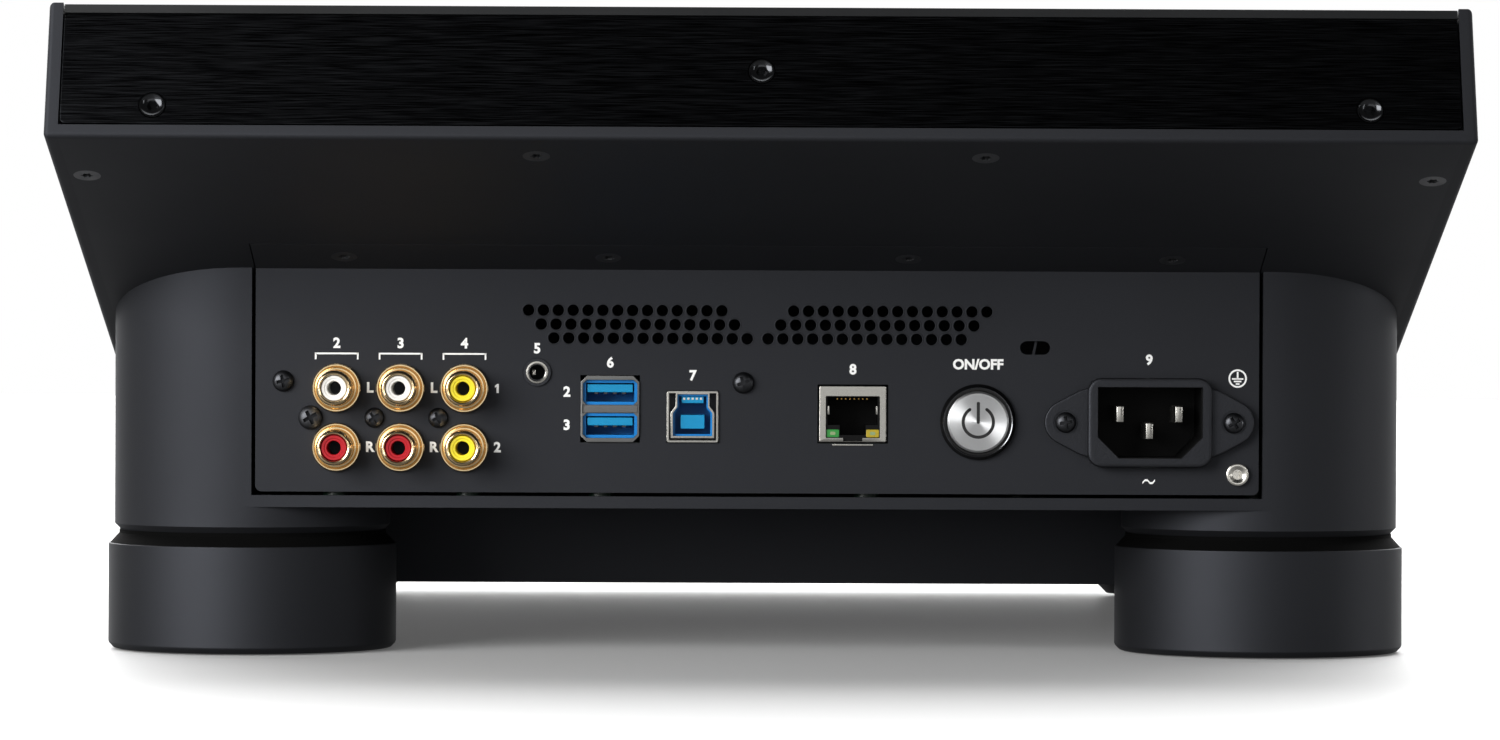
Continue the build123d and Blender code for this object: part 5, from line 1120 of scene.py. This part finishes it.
# Places and sizes of the strokes are in millimetres from the middle of each key
for key in KEYS:
    place = DISPLAY if key == "back" else DECK
    x, y, top = key_top(key + "_button", place)
    sign = bmesh.new()
    if key == "play":
        triangle(sign, x - 2.2, y, 2.6, 4.2, top)
        for step in (1.7, 3.7):
            line(sign, x + step, y, 1.1, 5.2, top)
    elif key == "cue":
        ring(sign, x, y + 0.8, 2.4, 2.39, top)
        line(sign, x, y - 3.0, 5.6, 0.9, top)
    elif key in ("track_back", "track_forward"):
        way = 1 if key == "track_forward" else -1
        for step in (-1.9, 0.7):
            triangle(sign, x + way * step, y, 1.7, way * 2.6, top)
        line(sign, x + way * 2.6, y, 0.7, 3.4, top)
    elif key == "sync":
        for step in (-1.3, 1.3):
            ring(sign, x + step, y, 2.1, 0.6, top, 32)
    elif key == "back":
        triangle(sign, x - 2.2, y, 1.7, -2.6, top)
        line(sign, x + 0.9, y, 3.6, 0.8, top)
    else:
        line(sign, x, y, 3.6, 0.8, top)
        if key == "bend_up":
            for step in (1.1, -1.1):
                line(sign, x, y + step, 0.8, 1.4, top)
    finish_piece(key + "_sign", sign, place, white_ink, body=key + "_button")
print(len(KEYS), "signs on keys")

# %% Rings on the large keys
RING_OUT, RING_WIDE, RING_STEPS = 13.2, 1.1, 96
for key, lens in (("play", green_lens), ("cue", amber_lens)):
    x, y, top = key_top(key + "_button", DECK)
    inlay = bmesh.new()
    ring(inlay, x, y, RING_OUT, RING_WIDE, top, RING_STEPS)
    finish_piece(key + "_ring", inlay, DECK, lens, body=key + "_button")
print("rings", 2 * RING_OUT, "mm wide")

# %% [markdown]
# ## Pads, fader and knobs
# Every pad has a number on the plate and a small light bar behind it. The fader has a printed scale along its slot,
# with a longer line at every fifth place, and its cap and the knobs have a white index. What moves has a mark of its
# own that rides along, and all that is printed on the plate is one piece.

# %% Pad numbers and lights
PAD_TYPE, PAD_MARK, PAD_LIGHT, LIGHT_BACK = 3.4, 5.0, (9.0, 1.3), 3.6
plate_top = measured("deck_plate", DECK)[1].z
deck_marks, pad_lights = bmesh.new(), bmesh.new()
for number in range(1, 9):
    low, high = measured(f"pad_{number}", DECK)
    x = middle(low, high)[0]
    write(deck_marks, str(number), x, low.y - PAD_MARK, PAD_TYPE, plate_top)
    raise_outline(pad_lights, rectangle(x, high.y + LIGHT_BACK, *PAD_LIGHT), plate_top - 0.5, plate_top + 0.25,
                  corner=0.5, edge=0.15)
finish_piece("pad_lights", pad_lights, DECK, clear_lens)
print("eight pads marked")

# %% Fader scale and index lines
TRAVEL, TICKS, TICK_SIDE, LONG_TICK, SHORT_TICK = 100.0, 21, 12.5, (4.4, 0.5), (2.6, 0.3)
SCALE_TYPE, SCALE_SIDE = 2.6, 5.0
CAP_LINE, CAP_LINE_SHORT, LOOP_LINE, LOOP_LINE_OUT = 0.8, 2.0, (0.9, 5.0), 5.0
SELECT_R, SELECT_LINE = 6.5, 0.5
cap_low, cap_high = measured("fader_cap", DECK)
slide_x, slide_y = middle(cap_low, cap_high)
for i in range(TICKS):
    y = slide_y + TRAVEL * (i / (TICKS - 1) - 0.5)
    for side in (-1, 1):
        line(deck_marks, slide_x + side * TICK_SIDE, y, *(SHORT_TICK if i % 5 else LONG_TICK), plate_top)
for number, part in zip("63036", (0.5, 0.25, 0.0, -0.25, -0.5)):
    write(deck_marks, number, slide_x + TICK_SIDE + SCALE_SIDE, slide_y + TRAVEL * part, SCALE_TYPE, plate_top)
finish_piece("deck_marks", deck_marks, DECK, white_ink)
index = bmesh.new()
line(index, slide_x, slide_y, cap_high.x - cap_low.x - CAP_LINE_SHORT, CAP_LINE, cap_high.z)
finish_piece("fader_index", index, DECK, white_ink, body="fader_cap")
x, y, top = key_top("loop_knob", DECK)
index = bmesh.new()
line(index, x, y + LOOP_LINE_OUT, *LOOP_LINE, top)
finish_piece("loop_index", index, DECK, white_ink, body="loop_knob")
x, y, top = key_top("select_knob", DISPLAY)
index = bmesh.new()
ring(index, x, y, SELECT_R, SELECT_LINE, top)
finish_piece("select_index", index, DISPLAY, white_ink, body="select_knob")
print("scale has", TICKS, "lines")

# %% [markdown]
# ## Jog wheel and display
# A bright diamond-cut line runs round the touch plate, and the fixed round screen in the middle has a fine ring of
# ticks under its glass. The display is off: its picture area shows as a slightly lighter, bluish rectangle inside a
# black printed border. It is laid on the glass as a thin sheet, because the glass itself is opaque.

# %% Wheel lines and screen
WHEEL_LINES_IN, WHEEL_LINE, WHEEL_STEPS = (1.0, 44.0), 0.6, 128
WHEEL_INDEX, WHEEL_INDEX_IN = (1.6, 10.0), 8.0
SCREEN_TICKS, SCREEN_TICK_R, SCREEN_LINE, SCREEN_RING_R = 60, 31.0, 0.4, 27.0
TICK_LONG, TICK_SHORT = 4.0, 2.4
plate_low, plate_high = measured("jog_plate", DECK)
jog_x, jog_y = middle(plate_low, plate_high)
jog_r = (plate_high.x - plate_low.x) / 2
wheel_lines = bmesh.new()
for inward in WHEEL_LINES_IN:
    ring(wheel_lines, jog_x, jog_y, jog_r - inward, WHEEL_LINE, plate_high.z, WHEEL_STEPS)
finish_piece("wheel_lines", wheel_lines, DECK, bright_nickel, body="jog")
wheel_index = raised(rectangle(jog_x, jog_y + jog_r - WHEEL_INDEX_IN, *WHEEL_INDEX), plate_high.z - INK,
                     plate_high.z + INK, corner=0.7)
finish_piece("wheel_index", wheel_index, DECK, white_ink, body="jog")
screen_top = measured("jog_screen", DECK)[1].z
screen_marks = bmesh.new()
for i in range(SCREEN_TICKS):
    before = set(screen_marks.verts)
    line(screen_marks, jog_x, jog_y + SCREEN_TICK_R, SCREEN_LINE, TICK_SHORT if i % 5 else TICK_LONG, screen_top)
    swing = Matrix.Rotation(math.tau * i / SCREEN_TICKS, 3, "Z")
    bmesh.ops.rotate(screen_marks, cent=(jog_x, jog_y, 0), matrix=swing,
                     verts=[v for v in screen_marks.verts if v not in before])
ring(screen_marks, jog_x, jog_y, SCREEN_RING_R, SCREEN_LINE, screen_top, RING_STEPS)
finish_piece("jog_screen_marks", screen_marks, DECK, grey_ink)
print("wheel lines and", SCREEN_TICKS, "ticks")

# %% Picture area of the display
PICTURE_SIDE, PICTURE_END = 7.0, 9.0
low, high = measured("display_glass", DISPLAY)
area = rectangle(*middle(low, high), high.x - low.x - 2 * PICTURE_SIDE, high.y - low.y - 2 * PICTURE_END)
picture = raised(area, high.z - INK, high.z + INK / 2, corner=0.8)
finish_piece("display_picture", picture, DISPLAY, dark_display)
print("display", [round(v, 1) for v in high - low], "mm")
